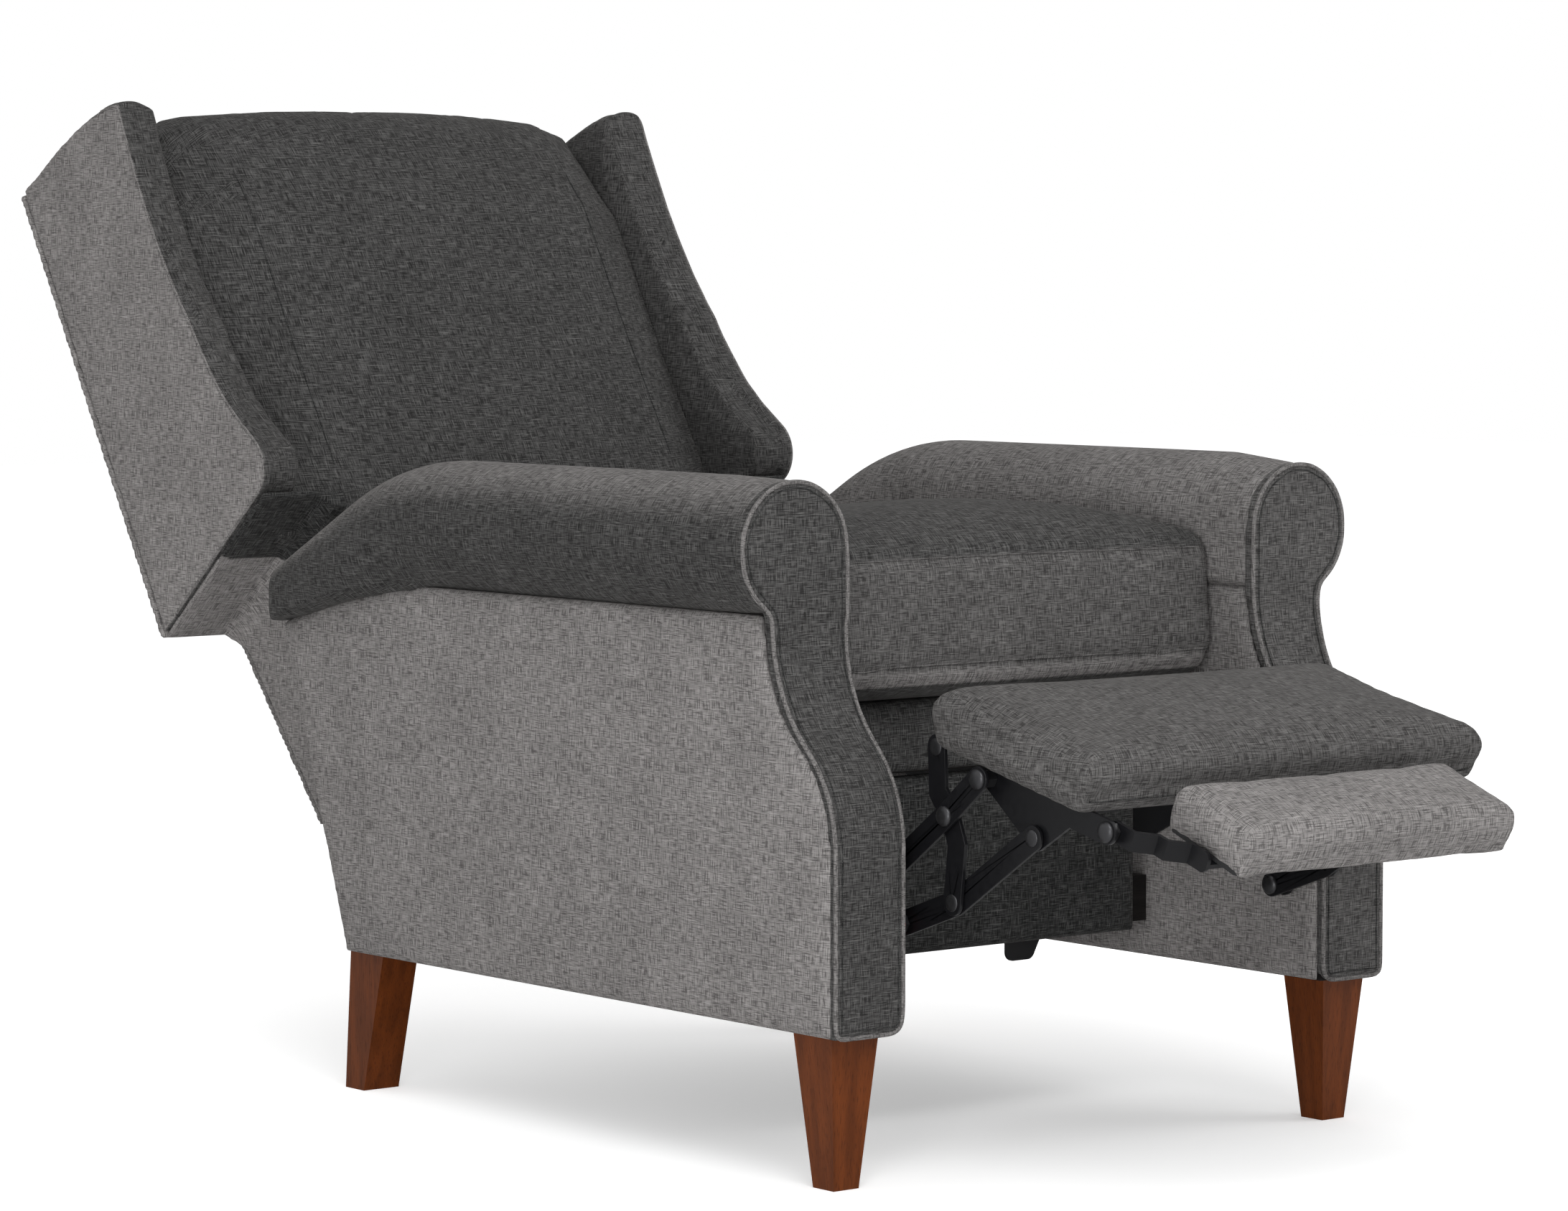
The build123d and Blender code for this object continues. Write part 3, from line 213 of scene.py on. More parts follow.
def weave_group():
    # Chenille: threads both ways with thick slubs among them, dark gaps between and faint clouds
    tree = bpy.data.node_groups.new("Chenille weave", "ShaderNodeTree")
    for label in ("Threads", "Slubs", "Shade", "Height"):
        tree.interface.new_socket(label, in_out="OUTPUT", socket_type="NodeSocketFloat")
    outputs = add_node(tree, "NodeGroupOutput")
    cloth = add_node(tree, "ShaderNodeUVMap", uv_map="cloth")
    place = add_node(tree, "ShaderNodeTexCoord")
    warp = stretched_noise(tree, cloth.outputs[0], (1 / thread_pitch, 1 / thread_length, 1), 1.0)
    weft = stretched_noise(tree, cloth.outputs[0], (1 / thread_length, 1 / thread_pitch, 1), 1.0)
    slubs = stretched_noise(tree, cloth.outputs[0], (1 / slub_length, 1 / slub_pitch, 1), 1.0)
    cloud = stretched_noise(tree, place.outputs["Object"], [1 / cloud_size] * 3, 2.0)

    def joined(operation, first, second):
        join = add_node(tree, "ShaderNodeMath", operation=operation)
        tree.links.new(first, join.inputs[0])
        tree.links.new(second, join.inputs[1])
        return join.outputs[0]

    both = joined("ADD", warp, weft)
    gaps = ranged(tree, joined("MINIMUM", warp, weft), 0.30, 0.46, 0.55, 1.0)
    clouds = ranged(tree, cloud, noise_low, noise_high, 0.93, 1.07)
    tree.links.new(ranged(tree, both, 0.84, 1.16), outputs.inputs["Threads"])
    thick = joined("MAXIMUM", joined("MAXIMUM", warp, weft), slubs)
    tree.links.new(ranged(tree, thick, 0.60, 0.78), outputs.inputs["Slubs"])
    tree.links.new(joined("MULTIPLY", gaps, clouds), outputs.inputs["Shade"])
    tree.links.new(both, outputs.inputs["Height"])
    return tree


def chenille_cloth():
    # The one cloth of the chair: its nap is dark where it is smoothed down and pale brushed up; on
    # some pieces its tone holds painted light and shade
    material, tree, shader = new_material("grey_chenille")
    weave = add_node(tree, "ShaderNodeGroup", node_tree=weave_group())
    nap_and_light = add_node(tree, "ShaderNodeAttribute", attribute_name="nap_and_light")

    def mixed(factor, first, second):
        mix = add_node(tree, "ShaderNodeMix", data_type="RGBA")
        tree.links.new(factor, mix.inputs["Factor"])
        for label, colour in (("A", first), ("B", second)):
            if isinstance(colour, tuple):
                mix.inputs[label].default_value = colour
            else:
                tree.links.new(colour, mix.inputs[label])
        return mix.outputs["Result"]

    ground = mixed(nap_and_light.outputs["Fac"], *ground_colours)
    thread = mixed(nap_and_light.outputs["Fac"], *thread_colours)
    slub = mixed(nap_and_light.outputs["Fac"], *slub_colours)
    threaded = mixed(weave.outputs["Threads"], ground, thread)
    slubbed = mixed(weave.outputs["Slubs"], threaded, slub)
    shaded = add_node(tree, "ShaderNodeVectorMath", operation="SCALE")
    tree.links.new(slubbed, shaded.inputs[0])
    tree.links.new(weave.outputs["Shade"], shaded.inputs["Scale"])
    tree.links.new(shaded.outputs[0], shader.inputs["Base Color"])
    fuzz = ranged(tree, weave.outputs["Slubs"], 0, 1, 0.95, 0.75)
    tree.links.new(fuzz, shader.inputs["Roughness"])
    shader.inputs["Specular IOR Level"].default_value = 0.08
    shader.inputs["Sheen Weight"].default_value = 0.05
    shader.inputs["Sheen Roughness"].default_value = 0.4
    shader.inputs["Sheen Tint"].default_value = (0.95, 0.90, 0.85, 1)
    bump_into(tree, shader, weave.outputs["Height"], 0.5, 0.0010)
    return material


cloth_finish = chenille_cloth()


def start_from(node):
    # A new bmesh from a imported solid, with its loose triangles sewn into flat faces
    shape = bmesh.new()
    shape.from_mesh(nodes[node].data)
    bmesh.ops.remove_doubles(shape, verts=shape.verts, dist=join_distance)
    bmesh.ops.dissolve_limit(
        shape, angle_limit=radians(0.4), verts=shape.verts, edges=shape.edges
    )
    return shape


def upholster(piece, tone, body):
    # Lay the cloth flat on each face of a piece, brush its nap, with any painted light, and put it
    # on its body
    shape = bmesh.new()
    shape.from_mesh(piece.data)
    layer = shape.loops.layers.uv.new("cloth")
    for face in shape.faces:
        across, ahead, up = (abs(value) for value in face.normal)
        for loop in face.loops:
            x, y, z = loop.vert.co
            if across >= max(ahead, up):
                loop[layer].uv = (y, z)
            elif up > ahead:
                loop[layer].uv = (x, y)
            else:
                loop[layer].uv = (x, z)
    shape.to_mesh(piece.data)
    shape.free()
    nap_and_light = piece.data.attributes.new("nap_and_light", "FLOAT", "POINT")
    for vert, brushed in zip(piece.data.vertices, nap_and_light.data):
        brushed.value = tone(vert.co, vert.normal)
    piece.data.materials.clear()
    piece.data.materials.append(cloth_finish)
    piece.data.shade_smooth()
    piece.data.set_sharp_from_angle(angle=pi)
    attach(piece, body)


def plain(level):
    # An even tone all over: a brushed nap, which on some pieces is painted shade
    return lambda place, normal: level


def object_from(shape, name):
    # A new object in the scene, which takes over a bmesh
    mesh = bpy.data.meshes.new(name)
    shape.to_mesh(mesh)
    shape.free()
    piece = bpy.data.objects.new(name, mesh)
    scene.collection.objects.link(piece)
    return piece


def remeshed(shape, name, voxel, rounds):
    # Turn a closed bmesh into an even net of small faces, eased at its edges
    rough = object_from(shape, name + "_rough")
    net = rough.modifiers.new("Even net", "REMESH")
    net.mode = "VOXEL"
    net.voxel_size = voxel
    graph = bpy.context.evaluated_depsgraph_get()
    even = bmesh.new()
    even.from_mesh(rough.evaluated_get(graph).data)
    bpy.data.objects.remove(rough)
    for _ in range(rounds):
        bmesh.ops.smooth_vert(
            even, verts=even.verts, factor=0.5, use_axis_x=True, use_axis_y=True, use_axis_z=True
        )
    return object_from(even, name)


def rim_of(faces):
    # The closed outline round some faces, as points in order
    following = {}
    for face in faces:
        for loop in face.loops:
            if sum(other in faces for other in loop.edge.link_faces) == 1:
                following[loop.vert] = loop.link_loop_next.vert
    first = next(iter(following))
    path = [first.co.copy()]
    vert = following[first]
    while vert is not first:
        path.append(vert.co.copy())
        vert = following[vert]
    return path


def evenly(path, pitch, closed):
    # Points at an even pitch along a path
    ends = path + path[:1] if closed else path
    points = []
    for first, last in zip(ends, ends[1:]):
        count = max(1, round((last - first).length / pitch))
        points += [first.lerp(last, index / count) for index in range(count)]
    return points if closed else points + path[-1:]


def padded_panel(node, name, outward, tone, body, rise=padding_rise, tuck=0.0):
    # A board with wadding under its cover, which rises from the sewn edge and is a little uneven.
    # The tuck carries its upper edge on under the piece above it.
    shape = start_from(node)
    outer = {face for face in shape.faces if face.normal.dot(outward) > 0.3}
    rim = evenly(rim_of(outer), seam_pitch, True)
    near = KDTree(len(rim))
    for index, point in enumerate(rim):
        near.insert(point, index)
    near.balance()
    piece = remeshed(shape, name, cover_voxel, 4)
    normals = [vert.normal.copy() for vert in piece.data.vertices]
    for vert, normal in zip(piece.data.vertices, normals):
        if normal.z > 0.5:
            vert.co.z += tuck
        elif normal.dot(outward) > 0.5:
            inside = 1 - exp(-near.find(vert.co)[2] / padding_reach)
            uneven = 1 + padding_unevenness * noise.noise(vert.co * padding_waves)
            vert.co += outward * inside * rise * uneven
    upholster(piece, tone, body)
    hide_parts(node)


def step(value, low, high):
    # Nought below the low value, one above the high value and an even rise between
    return max(0.0, min(1.0, (value - low) / (high - low)))


def inner_tone_and_light(place, normal):
    # The inner panel is painted paler below the seat: painted light, standing in for light thrown
    # up from the floor
    return inner_nap + (1 - inner_nap) * step(place.z, inner_light_start_z, inner_light_full_z)


for side, outward in (("right", Vector((-1, 0, 0))), ("left", Vector((1, 0, 0)))):
    padded_panel("arm_side_panel_" + side, "arm_side_" + side, outward, plain(side_nap), "base")
    padded_panel(
        "arm_inner_panel_" + side, "arm_inside_" + side, -outward, inner_tone_and_light, "base",
        rise=inner_rise, tuck=inner_tuck,
    )


def swell(piece, held, cap):
    # Fill a sewn cover: it blows up as cloth, is held where it is sewn, and stops at the cap
    sewn = piece.vertex_groups.new(name="sewn")
    sewn.add([vert.index for vert in piece.data.vertices if held(vert.co)], 1.0, "REPLACE")
    start = [vert.co.copy() for vert in piece.data.vertices]
    filling = piece.modifiers.new("Filling", "CLOTH")
    filling.settings.use_pressure = True
    filling.settings.uniform_pressure_force = fill_pressure
    filling.settings.effector_weights.gravity = 0
    filling.settings.vertex_group_mass = "sewn"
    filling.settings.quality = 3
    filling.collision_settings.use_collision = False
    for number in range(1, fill_frames + 1):
        scene.frame_set(number)
    graph = bpy.context.evaluated_depsgraph_get()
    filled = [vert.co.copy() for vert in piece.evaluated_get(graph).data.vertices]
    piece.modifiers.clear()
    scene.frame_set(1)
    for vert, first, last in zip(piece.data.vertices, start, filled):
        move = last - first
        vert.co = first + move * min(1.0, cap / max(move.length, 0.000001))
    piece.vertex_groups.clear()


def cover(piece, tone, body, replaced, finer=True):
    # Give a filled cover its cloth and, unless its net is dense already, a finer surface
    upholster(piece, tone, body)
    if finer:
        smooth = piece.modifiers.new("Smooth cover", "SUBSURF")
        smooth.levels = 1
        smooth.render_levels = 1
    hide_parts(*replaced)


def mirrored(piece, name):
    # The same piece for the other side of the chair
    shape = bmesh.new()
    shape.from_mesh(piece.data)
    bmesh.ops.scale(shape, vec=(-1, 1, 1), verts=shape.verts)
    bmesh.ops.reverse_faces(shape, faces=shape.faces)
    return object_from(shape, name)


roll_low, roll_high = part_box("arm_roll_right")
roll_middle = -(roll_low.x + roll_high.x) / 2
roll_half = (roll_low.z + roll_high.z) / 2
roll_tuck = 0.008
roll_tuck_reach = 0.010
roll_taper = 0.08
roll_fullness = {"right": 0.002, "left": 0.008}
roll_tack = 0.006
roll_tack_x = 0.2535
roll_inner_nap = 0.65
# The crest of the roll is painted paler where it faces up: a painted highlight.
roll_crest_highlight = 0.46
roll_highlight_facing = 0.35, 0.85
roll_right = remeshed(start_from("arm_roll_right"), "arm_roll_cover_right", cover_voxel, 3)


def roll_sewn(place):
    # The roll is sewn to the scroll in front and tacked down along both panels
    at_front = place.y < roll_low.y + roll_tack
    tacked = place.z < roll_low.z + roll_tack or abs(place.x) < roll_tack_x
    return at_front or tacked


def roll_tone(place, normal):
    # The nap lies down over the outside of the roll and stands up on its inside; its crest is
    # painted paler where it faces up, a painted highlight
    if abs(place.x) < roll_middle:
        return roll_inner_nap
    return smooth_nap + roll_crest_highlight * step(normal.z, *roll_highlight_facing)


swell(roll_right, roll_sewn, cap=0.006)
for vert in roll_right.data.vertices:
    if vert.co.y < roll_low.y + roll_tuck_reach:
        vert.co.y -= roll_tuck
roll_left = mirrored(roll_right, "arm_roll_cover_left")
for side, roll in (("right", roll_right), ("left", roll_left)):
    for vert in roll.data.vertices:
        away = step(vert.co.y, roll_low.y, roll_low.y + roll_taper)
        vert.co.z += roll_fullness[side] * away * step(vert.co.z, roll_half, roll_high.z)
cover(roll_right, roll_tone, "base", ["arm_roll_right"])
cover(roll_left, roll_tone, "base", ["arm_roll_left"])


def surface_of(piece):
    # The final surface of a piece, on which cords can be laid
    return BVHTree.FromObject(piece, bpy.context.evaluated_depsgraph_get())


def inset_path(path, surface, inset):
    # A closed path moved inwards over a surface
    middle = sum(path, Vector()) / len(path)
    moves = []
    for index, point in enumerate(path):
        along = path[(index + 1) % len(path)] - path[index - 1]
        normal = surface.find_nearest(point)[1]
        moves.append(normal.cross(along).normalized())
    inwards = sum(move.dot(middle - point) for move, point in zip(moves, path))
    reach = inset if inwards > 0 else -inset
    return [point + reach * move for move, point in zip(moves, path)]


def sew(name, path, surface, radius, tone, body, closed):
    # A cord sewn along a path on a surface: a welt if it is thick, a line of thread if it is thin
    line = bpy.data.curves.new(name, "CURVE")
    line.dimensions = "3D"
    line.bevel_depth = radius
    line.bevel_resolution = 1
    spline = line.splines.new("POLY")
    spline.points.add(len(path) - 1)
    spline.use_cyclic_u = closed
    laid = []
    for point in path:
        place, normal = surface.find_nearest(point)[:2]
        laid.append(place + sewn_lift * radius * normal)
    for _ in range(3):
        before = laid[-1:] + laid[:-1] if closed else laid[:1] + laid[:-1]
        after = laid[1:] + laid[:1] if closed else laid[1:] + laid[-1:]
        laid = [
            (first + 2 * middle + last) / 4 for first, middle, last in zip(before, laid, after)
        ]
    for point, knot in zip(laid, spline.points):
        knot.co = (*point, 1)
    holder = bpy.data.objects.new(name + "_line", line)
    shape = bmesh.new()
    rounded = bpy.data.meshes.new_from_object(holder)
    shape.from_mesh(rounded)
    bpy.data.objects.remove(holder)
    bpy.data.meshes.remove(rounded)
    upholster(object_from(shape, name), plain(tone), body)


front_press = 0.008
# The two arm fronts are one cloth; the left is painted paler than the right, painted light.
front_naps_and_light = {"right": 0.14, "left": 0.24}
waist_band = 0.03
waist_draw = 0.006
waist_start = 0.12
waist_end = 0.25
front_shape = start_from("arm_front_right")
front_faces = {face for face in front_shape.faces if face.normal.y < -0.2}
front_rim = evenly(rim_of(front_faces), seam_pitch, True)
front_right = remeshed(front_shape, "arm_scroll_right", fine_voxel, 2)
front_low, front_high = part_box("arm_front_right")


def pressed(place):
    # The cover is drawn in at the front, and at the inside below the scroll
    drawn = step(place.y, front_high.y, front_low.y)
    inner = step(place.x, front_high.x - waist_band, front_high.x)
    below = step(place.z, front_high.z - waist_start, front_high.z - waist_end)
    return Vector((place.x - waist_draw * inner * below, place.y + front_press * drawn, place.z))


for vert in front_right.data.vertices:
    vert.co = pressed(vert.co)
front_rim = [pressed(point) for point in front_rim]
front_left = mirrored(front_right, "arm_scroll_left")
for side, front, flip in (("right", front_right, 1), ("left", front_left, -1)):
    cover(front, plain(front_naps_and_light[side]), "base", ["arm_front_" + side])
    rim = [Vector((flip * point.x, point.y, point.z)) for point in front_rim]
    surface = surface_of(front)
    sew("arm_welt_" + side, rim, surface, welt_radius, welt_nap, "base", True)
    inner_rim = inset_path(rim, surface, stitch_inset)
    sew("arm_stitching_" + side, inner_rim, surface, stitch_radius, thread_nap, "base", True)

# Seat: a boxed foam cushion with a crowned top, on webbing between two rails.
# Its front boxing is sewn in at the top and bottom, and a short lip of paler nap turns under it,
# with painted light that grows as it turns.
seat_lean = radians(5)
seat_corner = Vector((0, -0.2825, 0.417))
cushion_front = -0.102
cushion_half_width = 0.250
seam_height = 0.126
lip_height = 0.033
boxing_depth = -0.085
seam_groove = 0.0035
lip_droop = 0.010
lip_push = 0.016
lip_light_reach = 0.02
lip_droop_depths = 0.02, -0.07
lip_push_depths = 0.02, -0.04
groove_width = 0.006
seat_seam_margin = 0.005
seat_tack_height = 0.006
seat_tack_x = 0.2475
seat_seam_share = 0.97
seat_seam_nap = 0.4
boxing_nap = 0.30
# The lip is painted paler as it turns under: painted light on its shaded underside.
lip_top_tone = 0.55
# The band under the cushion is darkened: painted shade.
band_painted_shade = 0.08
forward = Vector((0, -1, 0))


def seat_place(place):
    # Depth from the front rail and height above the webbing, in the leaning seat
    y = place.y - seat_corner.y
    z = place.z - seat_corner.z
    return y * cos(seat_lean) - z * sin(seat_lean), y * sin(seat_lean) + z * cos(seat_lean)


def seat_point(x, depth, height):
    # The point at some depth and height in the leaning seat
    y = depth * cos(seat_lean) + height * sin(seat_lean)
    z = height * cos(seat_lean) - depth * sin(seat_lean)
    return seat_corner + Vector((x, y, z))


seat_cushion = remeshed(start_from("seat_cushion"), "seat_cushion_cover", cushion_voxel, 2)


def seat_sewn(place):
    # The cushion is held at its two front seams, along its bottom and at its sides
    depth, height = seat_place(place)
    from_seam = min(abs(height - seam_height), abs(height - lip_height))
    seam = depth < boxing_depth and from_seam < seat_seam_margin
    return seam or height < seat_tack_height or abs(place.x) > seat_tack_x


def seat_tone(place, normal):
    # Dark on top, a little paler on the boxing and paler again down the lip below it, where painted
    # light grows as the lip turns under
    depth, height = seat_place(place)
    if depth > boxing_depth or height > seam_height:
        return smooth_nap
    below = lip_height - lip_droop - height
    return boxing_nap if below < 0 else lip_top_tone + (1 - lip_top_tone) * step(below, 0.0, lip_light_reach)


swell(seat_cushion, seat_sewn, cap=0.008)
for vert in seat_cushion.data.vertices:
    depth, height = seat_place(vert.co)
    if depth < boxing_depth:
        for seam in (seam_height, lip_height):
            vert.co.y += seam_groove * exp(-(((height - seam) / groove_width) ** 2))
    lowered = step(height, seam_height, lip_height) * step(depth, *lip_droop_depths)
    pushed = step(height, lip_height, 0.0) * step(depth, *lip_push_depths)
    vert.co.z -= lip_droop * lowered
    vert.co.y -= lip_push * pushed
cover(seat_cushion, seat_tone, "seat", ["seat_cushion"], finer=False)
seat_surface = surface_of(seat_cushion)
for name, height in (("seat_top_seam", seam_height), ("seat_lip_seam", lip_height - lip_droop)):
    ends = [
        seat_point(side * seat_seam_share * cushion_half_width, cushion_front, height)
        for side in (-1, 1)
    ]
    path = evenly(ends, seam_pitch, False)
    sew(name, path, seat_surface, stitch_radius, seat_seam_nap, "seat", False)
# The band under the cushion and the front panel below it are darkened with painted shade.
padded_panel("seat_front_band", "seat_band_cover", forward, plain(band_painted_shade), "seat")
padded_panel("seat_front_panel", "seat_panel_cover", forward, plain(0.0), "seat")

# Back: a one-piece stuffed inner back between two padded wings on a timber frame.
# The outer back is a board under cloth; a gusset closes the wings underneath, above a sloping foot.
back_lean = radians(31)
back_corner = Vector((0, 0.5745, 0.438))
wing_outer_x = 0.345
gusset_change = 0.133
back_crown = 0.014
back_edge_drop = 0.018
back_crown_reach = 0.2
back_edge_x = 0.225
back_side_x = 0.29
back_face_depths = 0.10, 0.14
back_seam_x = 0.228
back_seam_depth = 0.25
back_seam_margin = 0.08
back_tack_depth = 0.108
back_tack_x = 0.286


def back_place(place):
    # Depth in front of the outer back and height up it, in the leaning back
    y = place.y - back_corner.y
    z = place.z - back_corner.z
    return z * sin(back_lean) - y * cos(back_lean), y * sin(back_lean) + z * cos(back_lean)


def back_point(x, depth, height):
    # The point at some depth and height in the leaning back
    y = height * sin(back_lean) - depth * cos(back_lean)
    z = depth * sin(back_lean) + height * cos(back_lean)
    return back_corner + Vector((x, y, z))


back_cushion = remeshed(start_from("back_cushion"), "back_cushion_cover", cushion_voxel, 3)


def back_sewn(place):
    # The inner back is held behind, where it is stapled to the frame, and at the wings
    return back_place(place)[0] < back_tack_depth or abs(place.x) > back_tack_x


swell(back_cushion, back_sewn, cap=0.008)
back_up = back_point(0, 0, 1) - back_corner
back_ahead = back_point(0, 1, 0) - back_corner
back_top = max(back_place(vert.co)[1] for vert in back_cushion.data.vertices)
for vert in back_cushion.data.vertices:
    upper = step(back_place(vert.co)[1], back_top - back_crown_reach, back_top)
    vert.co += back_up * back_crown * upper
for vert in back_cushion.data.vertices:
    outer = step(abs(vert.co.x), back_edge_x, back_side_x)
    facing = step(back_place(vert.co)[0], *back_face_depths)
    vert.co -= back_ahead * back_edge_drop * outer * facing
cover(back_cushion, plain(smooth_nap), "back", ["back_cushion"], finer=False)
back_surface = surface_of(back_cushion)
for side, flip in (("right", -1), ("left", 1)):
    ends = [
        back_point(flip * back_seam_x, back_seam_depth, height)
        for height in (back_seam_margin, back_top - back_seam_margin)
    ]
    path = evenly(ends, seam_pitch, False)
    sew("back_seam_" + side, path, back_surface, stitch_radius, 0.0, "back", False)

wing_crown = 0.024
wing_crown_reach = 0.12
wing_crown_depths = 0.03, 0.17
wing_fullness = 0.012
wing_push_depths = 0.06, 0.11
wing_push_heights = 0.15, 0.25
wing_edge_share = 0.65
wing_tack_x = 0.004
wing_tack_depth = 0.012
wing_strip = 0.0035
wing_nap = 0.96
wing_strip_nap = 0.15
wing_welt_nap = 0.7
wing_welt_radius = 0.7 * welt_radius
wing_welt_depth = 0.025
wing_welt_margin = 0.01
wing_low, wing_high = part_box("wing_pad_right")
wing_shape = start_from("wing_pad_right")
wing_side = {
    face for face in wing_shape.faces if face.calc_center_median().x < wing_low.x + 0.0001
}
wing_rim = evenly(rim_of(wing_side), seam_pitch, True)
wing_rest = [face for face in wing_shape.faces if face not in wing_side]
bmesh.ops.delete(wing_shape, geom=wing_rest, context="FACES")
wing_walls = bmesh.ops.extrude_face_region(wing_shape, geom=wing_shape.faces[:])
wing_drawn = [part for part in wing_walls["geom"] if isinstance(part, bmesh.types.BMVert)]
bmesh.ops.translate(wing_shape, vec=(wing_high.x - wing_low.x, 0, 0), verts=wing_drawn)
bmesh.ops.recalc_face_normals(wing_shape, faces=wing_shape.faces)
wing_right = remeshed(wing_shape, "wing_cover_right", cover_voxel, 5)


def wing_sewn(place):
    # The wing is held along its outer side and where it meets the outer back
    return place.x < wing_low.x + wing_tack_x or back_place(place)[0] < wing_tack_depth


def wing_tone(place, normal):
    # A pale panel outside, and a dark strip that turns round the front to the inside
    return wing_nap if abs(place.x) > wing_outer_x - wing_strip else wing_strip_nap


swell(wing_right, wing_sewn, cap=0.005)
wing_top = max(back_place(vert.co)[1] for vert in wing_right.data.vertices)


def stuffed(place):
    # The wing is fullest along its front edge and at the top of it
    depth, height = back_place(place)
    upper = step(height, wing_top - wing_crown_reach, wing_top)
    rise = wing_crown * upper * step(depth, *wing_crown_depths)
    push = wing_fullness * step(depth, *wing_push_depths) * step(height, *wing_push_heights)
    return place + back_up * rise + back_ahead * push


for vert in wing_right.data.vertices:
    bulge = sin(pi * step(vert.co.x, wing_low.x, wing_high.x))
    vert.co = vert.co.lerp(stuffed(vert.co), wing_edge_share + (1 - wing_edge_share) * bulge)
wing_rim = [point.lerp(stuffed(point), wing_edge_share) for point in wing_rim]
wing_kept = []
for point in wing_rim:
    depth, height = back_place(point)
    wing_kept.append(depth > wing_welt_depth and height < wing_top - wing_welt_margin)
wing_start = next(
    index for index, kept in enumerate(wing_kept) if kept and not wing_kept[index - 1]
)
wing_turn = [(wing_start + index) % len(wing_rim) for index in range(len(wing_rim))]
wing_edge = [wing_rim[index] for index in wing_turn if wing_kept[index]]
wing_left = mirrored(wing_right, "wing_cover_left")
for side, wing, flip in (("right", wing_right, 1), ("left", wing_left, -1)):
    cover(wing, wing_tone, "back", ["wing_pad_" + side])
    rim = [Vector((flip * point.x, point.y, point.z)) for point in wing_edge]
    surface = surface_of(wing)
    sew("wing_welt_" + side, rim, surface, wing_welt_radius, wing_welt_nap, "back", False)

outer_back_nap = 1.0
lower_back_nap = 0.8
rearward = Vector((0, cos(back_lean), -sin(back_lean)))
padded_panel("outer_back_panel", "outer_back_cover", rearward, plain(outer_back_nap), "back")
padded_panel("lower_back_panel", "lower_back_cover", rearward, plain(lower_back_nap), "back")

gusset_slope = 0.16
gusset_front = 0.236
gusset_drop = 0.004
foot_x = 0.254
foot_inner_x = 0.240
cove = 0.016
gusset_behind = -0.004
gusset_thickness = 0.006
gusset_edge_x = wing_outer_x - 0.002
gusset_nap = 0.04
foot_shape = start_from("back_side_panels")
for vert in foot_shape.verts:
    if abs(vert.co.x) < foot_x - 0.001:
        vert.co.x *= foot_inner_x / abs(vert.co.x)
for flip in (-1, 1):
    sheet = (
        (foot_inner_x, gusset_thickness), (gusset_edge_x, gusset_thickness),
        (gusset_edge_x, 0), (foot_inner_x, 0),
    )
    corner = ((foot_inner_x, 0), (foot_x + cove, 0), (foot_x, -cove), (foot_inner_x, -cove))
    for section in (sheet, corner):
        points = [
            back_point(flip * x, depth, gusset_slope * depth - gusset_drop + rise)
            for depth in (gusset_behind, gusset_front) for x, rise in section
        ]
        corners = [foot_shape.verts.new(point) for point in points]
        bmesh.ops.convex_hull(foot_shape, input=corners)
lower_sides = remeshed(foot_shape, "lower_back_sides", fine_voxel, 5)


def foot_tone(place, normal):
    # The gusset is dark below the nose of the wing and pale behind it
    depth, height = back_place(place)
    return gusset_nap if depth > gusset_change and height > 0 else 1.0


cover(lower_sides, foot_tone, "back", ["back_side_panels"])

# Footrest and flap: two plywood boards padded with foam and covered all round.
# The footrest carries the flap, which folds out in front of it on two stepped brackets.
pad_tilt = radians(13.5)
pad_corner = Vector((0, -0.5395, 0.440))
pad_thickness = 0.030
pad_wrap = 0.013
pad_front = 0.212
pad_half_width = 0.247
flap_tilt = radians(22)
flap_wrap = 0.012
wrap_room = 0.004
pad_tack = 0.006
pad_rise = 0.009
pad_seam_share = 0.96
pad_nap = 0.29
flap_rise = 0.010
flap_nap = 0.85
board_ease = 0.0045


def pad_depth(place):
    # How far a point lies below the top of the footrest pad
    y = place.y - pad_corner.y
    z = place.z - pad_corner.z
    return y * sin(pad_tilt) - z * cos(pad_tilt)


def pad_point(x, ahead, depth):
    # The point some way ahead and some way below the top of the footrest pad
    y = depth * sin(pad_tilt) - ahead * cos(pad_tilt)
    z = -depth * cos(pad_tilt) - ahead * sin(pad_tilt)
    return pad_corner + Vector((x, y, z))


def wrapped(node, board, tilt, wrap):
    # A pad whose cover goes straight on down round the edge of its board
    shape = start_from(node)
    under = Vector((0, sin(tilt), -cos(tilt)))
    lowest = max(vert.co.dot(under) for vert in shape.verts)
    edge = [vert for vert in shape.verts if vert.co.dot(under) > lowest - 0.0005]
    for axis in (Vector((1, 0, 0)), Vector((0, -cos(tilt), -sin(tilt)))):
        reach = [vert.co.dot(axis) for vert in nodes[board].data.vertices]
        span = [vert.co.dot(axis) for vert in edge]
        middle = (min(reach) + max(reach)) / 2
        grow = (max(reach) - min(reach) + 2 * wrap_room) / (max(span) - min(span))
        for vert in edge:
            vert.co += axis * max(0.0, grow - 1) * (vert.co.dot(axis) - middle)
    for vert in edge:
        vert.co += wrap * under
    hull = bmesh.new()
    corners = [hull.verts.new(vert.co) for vert in shape.verts]
    shape.free()
    bmesh.ops.convex_hull(hull, input=corners)
    return hull


def plump(piece, tilt, rise):
    # Raise the top of a pad and leave its underside where it is
    up = Vector((0, -sin(tilt), cos(tilt)))
    heights = [vert.co.dot(up) for vert in piece.data.vertices]
    for vert in piece.data.vertices:
        vert.co += up * rise * step(vert.co.dot(up), min(heights), max(heights))


